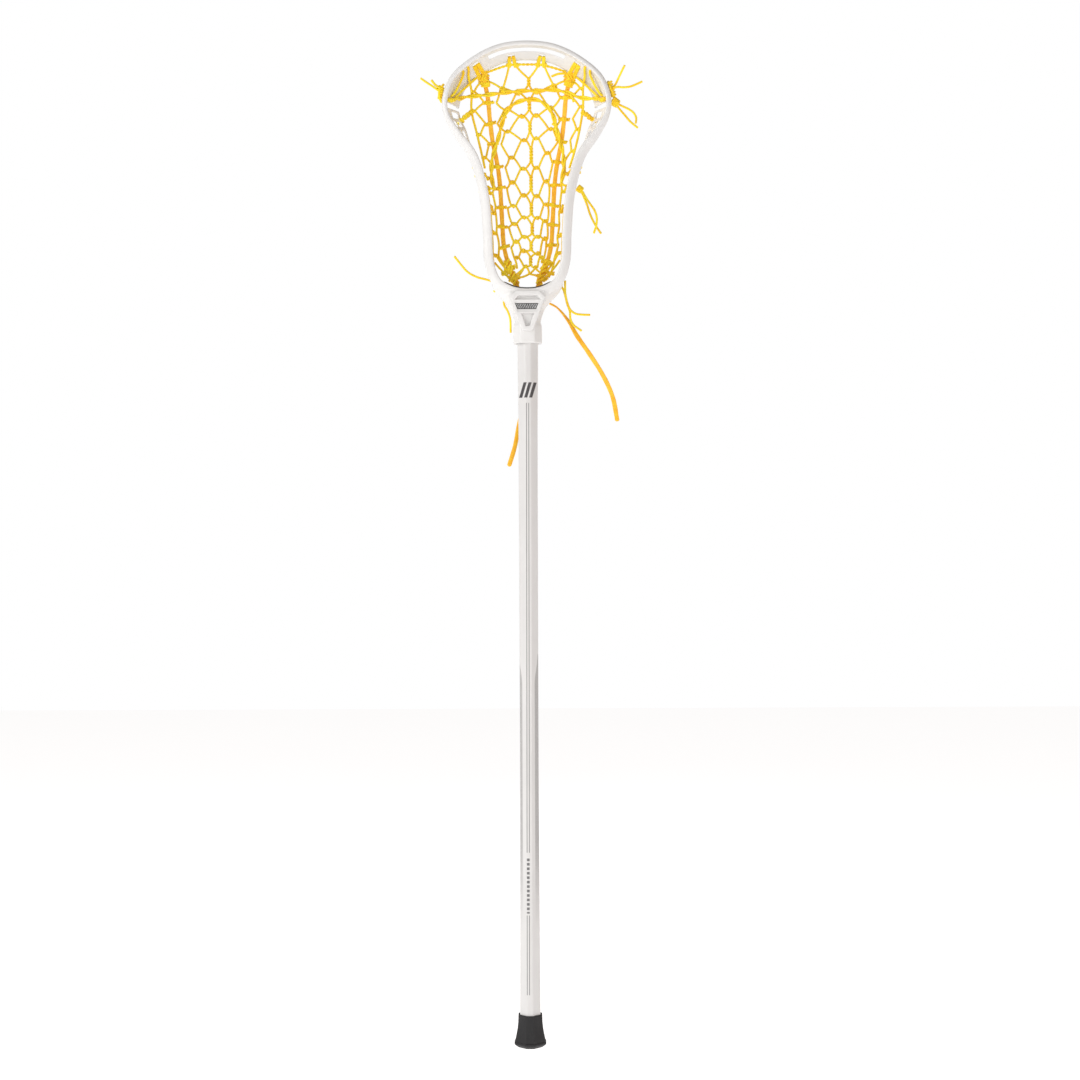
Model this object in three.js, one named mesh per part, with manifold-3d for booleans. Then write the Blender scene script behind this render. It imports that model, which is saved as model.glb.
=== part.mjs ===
// Lacrosse stick with a traditional strung pocket.
// Millimetres. +Z runs up the shaft, -Y is the open (ball) side of the head, and the
// origin is the centre of the end cap's flat bottom.
import * as THREE from 'three';
import { mergeVertices } from 'three/addons/utils/BufferGeometryUtils.js';
import Module from 'manifold-3d';

const wasm = await Module();
wasm.setup();

// ---------------------------------------------------------------- driving dimensions
const GAP = 0.3;
const STRING = 2.2; // sidewall and shooting string
const TAIL = 2.4; // loose string ends
const LEATHER_WIDTH = 4.6;
const LEATHER_THICKNESS = 2.0;
const NET_THICKNESS = 1.6;

const HEAD_BOTTOM = 810; // lowest point of the ring around the opening
const HEAD_TOP = 1091.5;
const FRONT_AT_THROAT = -17; // depth of the front rim at the throat
const FRONT_RISE = 15; // how far the scoop's lip sweeps back
const BACK_AT_THROAT = 18;
const BACK_DROP = 15; // how far the back rail drops below the throat
const BACK_RISE = 11; // how far it comes forward again at the scoop
const LOWER_RIM_WIDTH = 10.5;
const SCOOP_RIM_WIDTH = 6;
const RIM_DEPTH = 4.5;
const WALL = 3;
const SCOOP_WALL = 2.2;
const BACK_RAIL = 5;
const SCOOP_RAIL = 3.6;
const LOWER_INSET = 3; // back rail inside the outline along the side walls
const SCOOP_INSET = 13.9; // and around the scoop

const SOCKET_BOTTOM = 760.5;
const SOCKET_TOP = 783.5;
const SOCKET_HALF_WIDTH = 14.8;
const SOCKET_HALF_DEPTH = 16.2;
const THROAT_HALF_DEPTH = 16;

const SHAFT_HALF_WIDTH = 11.1;
const SHAFT_HALF_DEPTH = 12.5;
const SHAFT_FRONT_FLAT = 3.1; // half width of the front facet
const SHAFT_SIDE_FLAT = 4.7; // half depth of the side facet
const SHAFT_WALL = 1.4;
const SHAFT_LENGTH = 800;
const SHAFT_WAIST = 0.905; // how slim the shaft is at mid-length

const CAP_HEIGHT = 35.5;
const CAP_FLOOR = 5;
const CAP_FOOT_HALF = 12.6;
const CAP_FLARE_HALF = 17;
const CAP_FLARE_HEIGHT = 4.6;
const CAP_NECK_HALF = 12.8;

const SCREW_HEIGHT = 772;
const SCREW_RADIUS = 1.9;
const SCREW_HEAD_RADIUS = 3.3;
const SCREW_HEAD_DEPTH = 2.1; // its pocket in the side of the socket

// ---------------------------------------------------------------- small helpers
const v3 = (x, y, z) => new THREE.Vector3(x, y, z);
const mix = THREE.MathUtils.lerp;

function ramp(value, start, end) {
  return THREE.MathUtils.clamp((value - start) / (end - start), 0, 1);
}

function mirrored(points) {
  return points.map(([x, ...rest]) => [-x, ...rest]);
}

// Value of a hand-drawn profile [[height, value], ...] at a height.
function profileAt(profile, height) {
  for (let i = 1; i < profile.length; i += 1) {
    const [z0, a] = profile[i - 1];
    const [z1, b] = profile[i];
    if (height <= z1 || i === profile.length - 1) return mix(a, b, ramp(height, z0, z1));
  }
  return profile[0][1];
}

function indexedGeometry(vertices, triangles) {
  const geometry = new THREE.BufferGeometry();
  const flat = vertices.flatMap((p) => [p.x, p.y, p.z]);
  geometry.setAttribute('position', new THREE.Float32BufferAttribute(flat, 3));
  geometry.setIndex(triangles.flat());
  return facingOut(geometry);
}

function facingOut(geometry) {
  const position = geometry.attributes.position;
  const index = Array.from(geometry.index.array);
  const corner = (i) => v3(position.getX(i), position.getY(i), position.getZ(i));
  let volume = 0;
  for (let i = 0; i < index.length; i += 3) {
    const [a, b, c] = [corner(index[i]), corner(index[i + 1]), corner(index[i + 2])];
    volume += a.dot(b.cross(c));
  }
  if (volume < 0) index.reverse();
  geometry.setIndex(index);
  return geometry;
}

// A solid through a row of closed sections; a closed path joins the last to the first.
function loft(sections, closedPath = false) {
  const sides = sections[0].length;
  const vertices = sections.flat();
  const triangles = [];
  const spans = closedPath ? sections.length : sections.length - 1;
  for (let i = 0; i < spans; i += 1) {
    const next = (i + 1) % sections.length;
    for (let j = 0; j < sides; j += 1) {
      const k = (j + 1) % sides;
      const [a, b, c, d] = [i * sides + j, i * sides + k, next * sides + k, next * sides + j];
      triangles.push([a, b, c], [a, c, d]);
    }
  }
  if (!closedPath) {
    const last = (sections.length - 1) * sides;
    for (const [start, flip] of [[0, true], [last, false]]) {
      const section = sections[start / sides];
      const middle = section.reduce((sum, p) => sum.add(p), v3(0, 0, 0)).divideScalar(sides);
      vertices.push(middle);
      for (let j = 0; j < sides; j += 1) {
        const triangle = [vertices.length - 1, start + j, start + ((j + 1) % sides)];
        triangles.push(flip ? triangle.reverse() : triangle);
      }
    }
  }
  return indexedGeometry(vertices, triangles);
}

// A thin curved panel from a grid of mid-surface points, thickened along Y.
function panel(grid, thickness) {
  const sections = grid.map((row) => [
    ...row.map((p) => v3(p.x, p.y - thickness / 2, p.z)),
    ...row.map((p) => v3(p.x, p.y + thickness / 2, p.z)).reverse(),
  ]);
  const columns = grid[0].length;
  const sides = columns * 2;
  const vertices = sections.flat();
  const triangles = [];
  for (let i = 0; i < sections.length - 1; i += 1) {
    for (let j = 0; j < sides; j += 1) {
      const k = (j + 1) % sides;
      const [a, b, c, d] = [i * sides + j, i * sides + k, (i + 1) * sides + k, (i + 1) * sides + j];
      triangles.push([a, b, c], [a, c, d]);
    }
  }
  for (const [start, flip] of [[0, true], [(sections.length - 1) * sides, false]]) {
    for (let j = 0; j < columns - 1; j += 1) {
      const [a, b] = [start + j, start + j + 1];
      const [c, d] = [start + sides - 2 - j, start + sides - 1 - j];
      const pair = [[a, b, c], [a, c, d]];
      triangles.push(...pair.map((triangle) => (flip ? triangle.reverse() : triangle)));
    }
  }
  return indexedGeometry(vertices, triangles);
}

function toSolid(source) {
  const geometry = source.clone();
  geometry.deleteAttribute('normal');
  geometry.deleteAttribute('uv');
  const merged = mergeVertices(geometry, 1e-4);
  return new wasm.Manifold(new wasm.Mesh({
    numProp: 3,
    vertProperties: new Float32Array(merged.attributes.position.array),
    triVerts: new Uint32Array(merged.index.array),
  }));
}

function fromSolid(solid) {
  const mesh = solid.getMesh();
  const geometry = new THREE.BufferGeometry();
  geometry.setAttribute('position', new THREE.Float32BufferAttribute(mesh.vertProperties, 3));
  geometry.setIndex(Array.from(mesh.triVerts));
  return geometry;
}

// A flat plate drawn in X and Z and reaching from one depth to another along Y.
function plate(points, front, back, holes = []) {
  const shape = new THREE.Shape(points.map(([x, z]) => new THREE.Vector2(x, z)));
  for (const hole of holes) {
    shape.holes.push(new THREE.Path(hole.map(([x, z]) => new THREE.Vector2(x, z))));
  }
  const geometry = new THREE.ExtrudeGeometry(shape, { depth: back - front, bevelEnabled: false });
  return geometry.rotateX(Math.PI / 2).translate(0, back, 0);
}

function roundSection(diameter, sides = 8) {
  const points = [];
  for (let i = 0; i < sides; i += 1) {
    const angle = (i / sides) * Math.PI * 2;
    points.push(new THREE.Vector2(Math.cos(angle), Math.sin(angle)).multiplyScalar(diameter / 2));
  }
  return new THREE.Shape(points);
}

function curveThrough(points) {
  return new THREE.CatmullRomCurve3(points.map((p) => v3(...p)), false, 'centripetal');
}

function tube(points, diameter, stepLength = diameter * 2.5) {
  const path = curveThrough(points);
  const steps = Math.max(3, Math.round(path.getLength() / stepLength));
  return new THREE.ExtrudeGeometry(roundSection(diameter), { steps, extrudePath: path });
}

// A flat strap along a route, its width across the picture plane of the head.
function strap(points, width, thickness, steps) {
  const path = curveThrough(points);
  const sections = [];
  for (let i = 0; i <= steps; i += 1) {
    const middle = path.getPointAt(i / steps);
    const along = path.getTangentAt(i / steps);
    const across = v3(along.z, 0, -along.x).normalize();
    const out = across.clone().cross(along).normalize();
    sections.push([[-1, -1], [1, -1], [1, 1], [-1, 1]].map(([s, t]) => middle.clone()
      .addScaledVector(across, (s * width) / 2)
      .addScaledVector(out, (t * thickness) / 2)));
  }
  return loft(sections);
}

function knotBall(radiusX, radiusY, radiusZ) {
  const geometry = new THREE.SphereGeometry(1, 10, 8);
  return geometry.scale(radiusX, radiusY, radiusZ);
}

function octagon(halfWidth, halfDepth, frontFlat, sideFlat) {
  return [
    [frontFlat, -halfDepth], [halfWidth, -sideFlat], [halfWidth, sideFlat], [frontFlat, halfDepth],
    [-frontFlat, halfDepth], [-halfWidth, sideFlat], [-halfWidth, -sideFlat], [-frontFlat, -halfDepth],
  ];
}

function octagonPrism(halfWidth, halfDepth, frontFlat, sideFlat, bottom, top) {
  const corners = octagon(halfWidth, halfDepth, frontFlat, sideFlat);
  const shape = new THREE.Shape(corners.map(([x, y]) => new THREE.Vector2(x, y)));
  const geometry = new THREE.ExtrudeGeometry(shape, { depth: top - bottom, bevelEnabled: false });
  return geometry.translate(0, 0, bottom);
}

// ---------------------------------------------------------------- the head's shape
const rightOutline = [
  [20, 813.2], [37.2, 824.4], [46, 846.5], [48.2, 882], [51.7, 921], [62.4, 960], [77.7, 983.5],
  [88.8, 1005], [91.6, 1026], [83.2, 1051], [62, 1071.3], [32, 1087.2],
];
const outline = new THREE.CatmullRomCurve3(
  [
    [0, HEAD_BOTTOM], ...rightOutline, [0, HEAD_TOP], ...mirrored(rightOutline).reverse(),
  ].map(([x, z]) => v3(x, 0, z)),
  true,
  'centripetal',
);
outline.arcLengthDivisions = 1200;

function frontDepth(height) {
  return FRONT_AT_THROAT + FRONT_RISE * ramp(height, 930, HEAD_TOP) ** 2;
}

function backDepth(height) {
  const belowThroat = (1 - ramp(height, HEAD_BOTTOM, 932)) ** 2;
  const nearScoop = ramp(height, 960, HEAD_TOP) ** 2;
  return BACK_AT_THROAT + BACK_DROP * (1 - belowThroat) - BACK_RISE * nearScoop;
}

// The moulding is lighter round the scoop than along the side walls.
const towardScoop = (height) => ramp(height, 972, 1010);
const rimWidth = (height) => mix(LOWER_RIM_WIDTH, SCOOP_RIM_WIDTH, towardScoop(height));
const wallThickness = (height) => mix(WALL, SCOOP_WALL, towardScoop(height));
const railWidth = (height) => mix(BACK_RAIL, SCOOP_RAIL, towardScoop(height));
const backInset = (height) => mix(LOWER_INSET, SCOOP_INSET, ramp(height, 958, 992));

// A point of the head: a place along the outline, a distance inward and a depth.
function headPoint(place, inward, depth) {
  const wrapped = (place + 1) % 1;
  const point = outline.getPointAt(wrapped);
  const along = outline.getTangentAt(wrapped);
  return v3(point.x - along.z * inward, depth, point.z + along.x * inward);
}

function placeAtHeight(height) {
  let [low, high] = [0, 0.5];
  for (let i = 0; i < 40; i += 1) {
    const middle = (low + high) / 2;
    if (outline.getPointAt(middle).z < height) low = middle;
    else high = middle;
  }
  return low;
}

function headSection(place) {
  const height = outline.getPointAt(place).z;
  const [front, back] = [frontDepth(height), backDepth(height)];
  const [rim, rail, wall] = [rimWidth(height), railWidth(height), wallThickness(height)];
  const inset = backInset(height);
  const wallFront = rim / 2 - 1;
  const bevel = mix(5.6, 2.6, towardScoop(height));
  const bevelDepth = mix(4, 2.2, towardScoop(height));
  return [
    [0, front + bevelDepth], [bevel, front], [rim - 1, front], [rim, front + 1.2], [rim, front + RIM_DEPTH],
    [wallFront + wall, front + 6.5], [inset + rail - 1, back - 6.5], [inset + rail, back - 5],
    [inset + rail, back - 1], [inset + rail - 1, back], [inset + 1, back], [inset, back - 1],
    [inset, back - 5], [inset + 1, back - 6.5], [wallFront, front + 6.5], [0, front + RIM_DEPTH + 0.6],
  ].map(([inward, depth]) => headPoint(place, inward, depth));
}

// A block that cuts through the wall between two places, over part of the wall's depth.
function wallCutter(placeA, placeB, from, to, stations = 4) {
  const sections = [];
  for (let i = 0; i <= stations; i += 1) {
    const place = mix(placeA, placeB, i / stations);
    const height = outline.getPointAt((place + 1) % 1).z;
    const [near, far] = [frontDepth(height) + 6.5, backDepth(height) - 6.5];
    const [start, end] = [mix(near, far, from), mix(near, far, to)];
    sections.push([[-4, start], [28, start], [28, end], [-4, end]]
      .map(([inward, depth]) => headPoint(place, inward, depth)));
  }
  return toSolid(loft(sections));
}

// A block that cuts the scoop's slanted wall from front to back, between two distances inward.
function scoopCutter(placeA, placeB, from, to, stations) {
  const sections = [];
  for (let i = 0; i <= stations; i += 1) {
    const place = mix(placeA, placeB, i / stations);
    const height = outline.getPointAt(place).z;
    const [start, end] = [frontDepth(height) - 1, backDepth(height) - 5.2];
    sections.push([[from, start], [to, start], [to, end], [from, end]]
      .map(([inward, depth]) => headPoint(place, inward, depth)));
  }
  return toSolid(loft(sections));
}

// Openings of one side wall: bottom, top, and how far they reach from front to back.
const SIDE_WINDOWS = [
  [850, 873, 0.14, 0.87], [880, 905, 0.14, 0.87], [912, 938, 0.14, 0.87], [946, 971, 0.14, 0.87],
  [978.5, 990, 0.14, 0.43], [978.5, 990, 0.6, 0.87], [994, 1001.5, 0.14, 0.43],
  [994, 1001.5, 0.6, 0.87], [1006, 1014.2, 0.14, 0.43], [1006, 1014.2, 0.6, 0.87],
];
const NOTCH = [1018, 1024.2, -0.05, 1.4];
const SCOOP_SLIT_HALF = 0.062; // along the outline, as a share of its length
const SCOOP_SLIT = [6.5, 9.5]; // how far inside the outline it is
// Slots either side of the scoop's tip: how far along the outline, and how far inside it.
const SCOOP_SLOTS = [[0.025, 11.9, 15.2], [0.0843, ...SCOOP_SLIT]];
const SCOOP_SLOT_HALF = 0.0056;

const V_FRAME = [[-12.5, 817], [-19.5, 810.6], [-5.6, 775.3], [5.6, 775.3], [19.5, 810.6], [12.5, 817]];
const V_FRAME_TOP_RECESS = [[-13, 812.6], [-10, 806.7], [10, 806.7], [13, 812.6]];
const V_FRAME_LOWER_RECESS = [[-6.6, 794.2], [0, 781.3], [6.6, 794.2]];
const GUSSET_SIDE = [[39, 828], [33, 816], [25, 808], [19, 801], [16, 793], [13.5, 784]];

function makeHead() {
  const stations = 96;
  const sections = [];
  for (let i = 0; i < stations; i += 1) sections.push(headSection(i / stations));
  let head = toSolid(loft(sections, true));

  const gussetOutline = [
    ...GUSSET_SIDE, [12, SOCKET_BOTTOM + 4], ...mirrored([...GUSSET_SIDE, [12, SOCKET_BOTTOM + 4]]).reverse(),
    [-20, 816.8], [0, 815], [20, 816.8],
  ];
  const socket = octagonPrism(SOCKET_HALF_WIDTH, SOCKET_HALF_DEPTH, 6.5, 7, SOCKET_BOTTOM, SOCKET_TOP);
  const vFrame = plate(V_FRAME, FRONT_AT_THROAT - 2, FRONT_AT_THROAT + 3,
    [V_FRAME_TOP_RECESS, V_FRAME_LOWER_RECESS]);
  head = head.add(toSolid(plate(gussetOutline, -THROAT_HALF_DEPTH, THROAT_HALF_DEPTH)));
  head = head.add(toSolid(socket)).add(toSolid(vFrame));

  const bore = octagonPrism(
    SHAFT_HALF_WIDTH + GAP, SHAFT_HALF_DEPTH + GAP, SHAFT_FRONT_FLAT + 0.1, SHAFT_SIDE_FLAT + 0.1,
    SOCKET_BOTTOM - 5, CAP_FLOOR + SHAFT_LENGTH + 1,
  );
  head = head.subtract(toSolid(bore));
  const screwHole = new THREE.CylinderGeometry(SCREW_RADIUS + GAP, SCREW_RADIUS + GAP, 12, 12)
    .rotateZ(Math.PI / 2).translate(SOCKET_HALF_WIDTH, 0, SCREW_HEIGHT);
  const pocketRadius = SCREW_HEAD_RADIUS + GAP;
  const screwPocket = new THREE.CylinderGeometry(pocketRadius, pocketRadius, 2 * SCREW_HEAD_DEPTH, 16)
    .rotateZ(Math.PI / 2).translate(SOCKET_HALF_WIDTH, 0, SCREW_HEIGHT);
  head = head.subtract(toSolid(screwHole)).subtract(toSolid(screwPocket));

  for (const [bottom, top, from, to] of [...SIDE_WINDOWS, NOTCH]) {
    const [low, high] = [placeAtHeight(bottom), placeAtHeight(top)];
    head = head.subtract(wallCutter(low, high, from, to));
    head = head.subtract(wallCutter(1 - high, 1 - low, from, to));
  }
  head = head.subtract(
    scoopCutter(0.5 - SCOOP_SLIT_HALF, 0.5 + SCOOP_SLIT_HALF, ...SCOOP_SLIT, 14),
  );
  for (const [offset, from, to] of SCOOP_SLOTS) {
    for (const side of [-1, 1]) {
      const middle = 0.5 + side * offset;
      head = head.subtract(
        scoopCutter(middle - SCOOP_SLOT_HALF, middle + SCOOP_SLOT_HALF, from, to, 2),
      );
    }
  }
  return fromSolid(head);
}

// Foam pad lying on the inner face of the wall across the bottom of the opening.
function makeBallStop() {
  const halfLength = 0.047; // share of the outline each side of the centre
  const thickness = 5;
  const sections = [];
  const stations = 12;
  for (let i = 0; i <= stations; i += 1) {
    const place = mix(-halfLength, halfLength, i / stations);
    const height = outline.getPointAt((place + 1) % 1).z;
    const [near, far] = [frontDepth(height) + 7.3, backDepth(height) - 7.3];
    const foot = LOWER_RIM_WIDTH / 2 - 1 + WALL + GAP + 0.25;
    sections.push([[foot, near], [foot + thickness, near], [foot + thickness, far], [foot, far]]
      .map(([inward, depth]) => headPoint(place, inward, depth)));
  }
  return loft(sections);
}

// ---------------------------------------------------------------- the pocket's surface
// Half width of the netting, and where the leathers run, both by height.
const NET_EDGE = [
  [832.7, 25.8], [838.9, 28.8], [863.8, 36], [884.4, 38], [905, 39], [930.5, 42.1], [950.7, 45.1],
  [970.9, 50.2], [996, 55.8], [1020.8, 61.8], [1062.7, 61.5],
];
const LEATHER_LINE = [
  [822.5, 10.3], [830.9, 12.6], [851.9, 20.8], [872.8, 25.9], [895.6, 27.6], [918.3, 28.8], [940.7, 30.1], [964, 33],
  [988.9, 38], [1012.7, 40.9], [1036, 43], [1049, 45.8],
];
const NET_BOTTOM = 836.5;
const NET_TOP = 1049;
const POCKET_SAG = 16;

function pocketDepth(x, z) {
  const rail = backDepth(z + 20 * ramp(z, 1000, 1068)) - 2.5;
  const along = ramp(z, HEAD_BOTTOM + 10, 1068) ** 0.8;
  const across = 1 - (x / (profileAt(NET_EDGE, z) + 4)) ** 2;
  return rail + POCKET_SAG * Math.sin(Math.PI * along) * Math.max(across, 0);
}

const onPocket = (x, z, lift = 0) => [x, pocketDepth(x, z) + lift, z];

function makeNetPanel(innerEdge, outerEdge) {
  const grid = [];
  const [rows, columns] = [20, 5];
  for (let i = 0; i <= rows; i += 1) {
    const z = mix(NET_BOTTOM, NET_TOP, i / rows);
    const row = [];
    for (let j = 0; j <= columns; j += 1) {
      const x = mix(innerEdge(z), outerEdge(z), j / columns);
      row.push(v3(x, pocketDepth(x, z), z));
    }
    grid.push(row);
  }
  return panel(grid, NET_THICKNESS);
}

const leatherClear = LEATHER_WIDTH / 2 + 1;
const leatherX = (z) => profileAt(LEATHER_LINE, z);
const netEdgeX = (z) => profileAt(NET_EDGE, z) - STRING / 2 - 0.9;

function makeLeatherRunner(side) {
  const points = [];
  for (const [z] of LEATHER_LINE) points.push(onPocket(side * leatherX(z), z));
  return strap(points, LEATHER_WIDTH, LEATHER_THICKNESS, 32);
}

// Lacing that ties the net to the back rail, lying along the rail's inner face.
function makeSideLacing(side) {
  const points = [];
  for (let z = 834; z <= 952; z += 9.8) {
    const place = placeAtHeight(z);
    const inward = backInset(z) + BACK_RAIL + GAP + STRING / 2 + 0.1;
    const point = headPoint(place, inward, backDepth(z) - 2.5);
    points.push([side * point.x, point.y, point.z]);
  }
  return tube(points, STRING, 9);
}

// Outer string of the net, from the scoop's corner down to the side wall.
function makeSelvage(side) {
  const heights = [1046.5, 1038, 1020, 1008, 995, 970, 956];
  const points = heights.map((z) => onPocket(side * profileAt(NET_EDGE, z), z));
  return tube(points, STRING, 8);
}

// The throw strings lie on the ball's side of the net and the leathers.
const SHOOTING_DIAMETER = 3.6;
const SHOOTING_LIFT = -(LEATHER_THICKNESS / 2 + SHOOTING_DIAMETER / 2 + 1.1);
const UPPER_SHOOTING = [
  [-66.8, 1034.6], [-46.6, 1037.1], [-25.4, 1039.8], [-4.2, 1041.8], [15, 1041.8], [29.2, 1042.6],
  [45.3, 1039], [56.4, 1034.4], [66.5, 1032.6],
];
// Both ends of the upper string come forward to their holes in the side walls.
const UPPER_SHOOTING_END = [[73.6, 16, 1031.5], [77.8, 6, 1028.8]];
const ARCH_SHOOTING = [
  [-36.7, 935.4], [-39.2, 949.5], [-38.7, 966.9], [-32.2, 989.5], [-26.5, 1010.4], [-20.9, 1022.1],
  [-9.8, 1030.4], [9, 1032.8], [19.1, 1028.4], [27.7, 1018.1], [31.8, 1004.3], [36.3, 987.3],
  [39.9, 973], [39.9, 955.6], [37.3, 941.5],
];

function makeShootingString(route, end = []) {
  const middle = route.map(([x, z]) => onPocket(x, z, SHOOTING_LIFT));
  return tube([...mirrored(end).reverse(), ...middle, ...end], SHOOTING_DIAMETER, 7);
}

function makeTopString() {
  const route = [[-40.8, 1062.1], [-30.3, 1066.1], [-17.2, 1068.5], [0, 1069.1], [17.2, 1068.5],
    [30.3, 1066.1], [40.8, 1062.1]];
  return tube(route.map(([x, z]) => onPocket(x, z)), STRING, 6);
}

function makeCornerTie(side) {
  const route = [[57.9, 1023.9], [62.1, 1019.3], [67.9, 1011.2]];
  const depth = backDepth(1016) + 5.5;
  return tube(route.map(([x, z]) => [side * x, depth, z]), 4.2, 5);
}

// ---------------------------------------------------------------- shaft, cap and screw
// The shaft is slimmer along its middle than at its two ends.
const SHAFT_TAPER = [
  [0, 1], [45, 1], [160, 0.945], [265, SHAFT_WAIST], [485, SHAFT_WAIST], [670, 0.93], [745, 1],
  [CAP_FLOOR + SHAFT_LENGTH, 1],
];

function makeShaft() {
  const bottom = CAP_FLOOR + GAP;
  const top = CAP_FLOOR + SHAFT_LENGTH;
  const heights = [bottom, 45, 100, 160, 265, 375, 485, 580, 670, 745, top];
  const ring = (z, shrink) => {
    const k = profileAt(SHAFT_TAPER, z);
    const slope = shrink * 0.41;
    return octagon(
      SHAFT_HALF_WIDTH * k - shrink, SHAFT_HALF_DEPTH * k - shrink,
      SHAFT_FRONT_FLAT * k - slope, SHAFT_SIDE_FLAT * k - slope,
    ).map(([x, y]) => v3(x, y, z));
  };
  const outer = loft(heights.map((z) => ring(z, 0)));
  const boreHeights = [bottom - 1, ...heights.slice(1, -1), top + 1];
  const inner = loft(boreHeights.map((z) => ring(z, SHAFT_WALL)));
  const screwHole = new THREE.CylinderGeometry(SCREW_RADIUS + GAP, SCREW_RADIUS + GAP, 8, 12)
    .rotateZ(Math.PI / 2).translate(SHAFT_HALF_WIDTH, 0, SCREW_HEIGHT);
  return fromSolid(toSolid(outer).subtract(toSolid(inner)).subtract(toSolid(screwHole)));
}

function makeEndCap() {
  // height, half width, as the rubber flares to its foot
  const profile = [
    [0, CAP_FOOT_HALF], [1, 13.9], [CAP_FLARE_HEIGHT - 1.2, CAP_FLARE_HALF - 0.3],
    [CAP_FLARE_HEIGHT, CAP_FLARE_HALF], [CAP_FLARE_HEIGHT + 0.8, CAP_FLARE_HALF - 0.5], [9, 15.8],
    [13, 15], [19, 13.8], [26, 13.05], [CAP_HEIGHT, CAP_NECK_HALF],
  ];
  const outer = loft(profile.map(([z, half]) => {
    const k = half / CAP_NECK_HALF;
    return octagon(half, half + 1.3, 4.1 * k, 5.4 * k).map(([x, y]) => v3(x, y, z));
  }));
  const pocket = octagonPrism(
    SHAFT_HALF_WIDTH + GAP, SHAFT_HALF_DEPTH + GAP, SHAFT_FRONT_FLAT + 0.1, SHAFT_SIDE_FLAT + 0.1,
    CAP_FLOOR, CAP_HEIGHT + 2,
  );
  return fromSolid(toSolid(outer).subtract(toSolid(pocket)));
}

function makeHeadScrew() {
  const headOuter = SOCKET_HALF_WIDTH;
  const headInner = SOCKET_HALF_WIDTH - SCREW_HEAD_DEPTH + GAP;
  const tip = 6;
  const profile = [
    [0, tip], [SCREW_RADIUS - 0.6, tip], [SCREW_RADIUS, tip + 1.5], [SCREW_RADIUS, headInner],
    [SCREW_HEAD_RADIUS, headInner], [SCREW_HEAD_RADIUS, headOuter - 0.8],
    [SCREW_HEAD_RADIUS - 0.8, headOuter], [0, headOuter],
  ];
  const turned = new THREE.LatheGeometry(profile.map(([r, h]) => new THREE.Vector2(r, h)), 12);
  return turned.rotateZ(-Math.PI / 2).translate(0, 0, SCREW_HEIGHT);
}

// ---------------------------------------------------------------- loose ends
// Routes of the loose string ends and leather tails, in millimetres.
const STRING_TAILS = {
  tail_upper_left: [
    [-97.4, -3.5, 1037.9], [-100.8, -5, 1039.9], [-104.6, -7.5, 1042], [-109.4, -12, 1044.4],
    [-113.6, -18, 1046.4],
  ],
  tail_upper_right_rising: [
    [95.9, -3, 1042], [98.1, -4, 1046.1], [100.6, -6, 1051.2], [103.1, -9, 1056], [105.8, -13.5, 1060.5],
  ],
  tail_upper_right_level: [
    [94.4, -6.5, 1038], [98.7, -7.5, 1038.8], [103.7, -8, 1038.2], [111.6, -8.6, 1038.8], [118.6, -9, 1041.3],
    [124.7, -9, 1044.1],
  ],
  tail_upper_right_outer: [
    [101.8, -3.5, 1019.6], [104.8, -4.5, 1017.9], [108.7, -6, 1015.8], [114.8, -8, 1011.3],
    [118, -10, 1005.4], [117.6, -13, 998.4],
  ],
  tail_upper_right_inner: [
    [99.3, -1.5, 1017.7], [102, -0.5, 1014.5], [105.9, 0, 1010.2], [111.9, 0, 1003], [116, 0, 999.4],
    [120.2, 0, 996],
  ],
  tail_right_rail_outer: [
    [60.6, 1, 926.4], [64, 0, 920], [68, -0.5, 913.9], [72.8, -1, 906.8], [75.4, -1.5, 898.8],
    [74.8, -2, 889.7], [72.2, -2.5, 881.6],
  ],
  tail_right_rail_inner: [
    [59.7, 3.6, 926], [62.1, 4, 920.6], [65.1, 4, 913.2], [68.1, 3.5, 903.5], [71.1, 2.5, 896.4],
    [75.6, 2, 888.3], [80.1, 2, 881.8],
  ],
  tail_lower_left_rising: [
    [-38.6, 8, 831.2], [-45.2, 7, 832.9], [-55.7, 6, 835.7], [-65.1, 5, 840.9], [-71.2, 5, 847.6],
    [-79.2, 5, 857.7],
  ],
  tail_lower_left_hanging: [
    [-24.4, 22.8, 818.6], [-25.9, 21, 812.3], [-25.4, 17.2, 805.7], [-21.9, 11, 799.2], [-19.1, 9, 790.4],
    [-18.5, 8, 775.3],
  ],
  tail_lower_right_level: [
    [40.9, 8, 831], [40.9, 6, 825.7], [41, 4, 817.5], [43, 3, 807.3], [46.6, 3, 798.9], [52.1, 3, 794.9],
    [59.1, 3, 793.8], [67.6, 3, 793.5],
  ],
  tail_lower_right_falling: [
    [36.6, 20, 827.3], [39.4, 15.5, 821.8], [41, 9.5, 815.1], [42.9, 6.6, 806.7], [45.9, 6.4, 797.7],
    [46.7, 6.2, 789.1], [49.7, 6, 783.2], [58.4, 6, 776.6],
  ],
};
const LEATHER_TAILS = {
  leather_tail_right: [
    [11.5, 22.8, 818.6], [15, 21.3, 813.4], [22.8, 19.6, 808.5], [32.1, 17, 803.1], [43.6, 14, 789.3],
    [53.7, 11, 771.6], [67.1, 8, 751.6], [81.3, 5, 728.6], [91.8, 2, 704.8], [96.8, 0, 679],
  ],
  leather_tail_left: [
    [-11.2, 22.8, 818.6], [-9.7, 20.6, 807.3], [-7.2, 19.4, 794], [-4.1, 18.9, 776.9], [-1.6, 18.2, 756.6],
    [-1.1, 17, 736.4], [-2.6, 16, 713.1], [-6.1, 15, 692.9], [-10.3, 13, 672.7], [-14.7, 11, 650.5],
    [-20.6, 9, 630.8],
  ],
};

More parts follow.
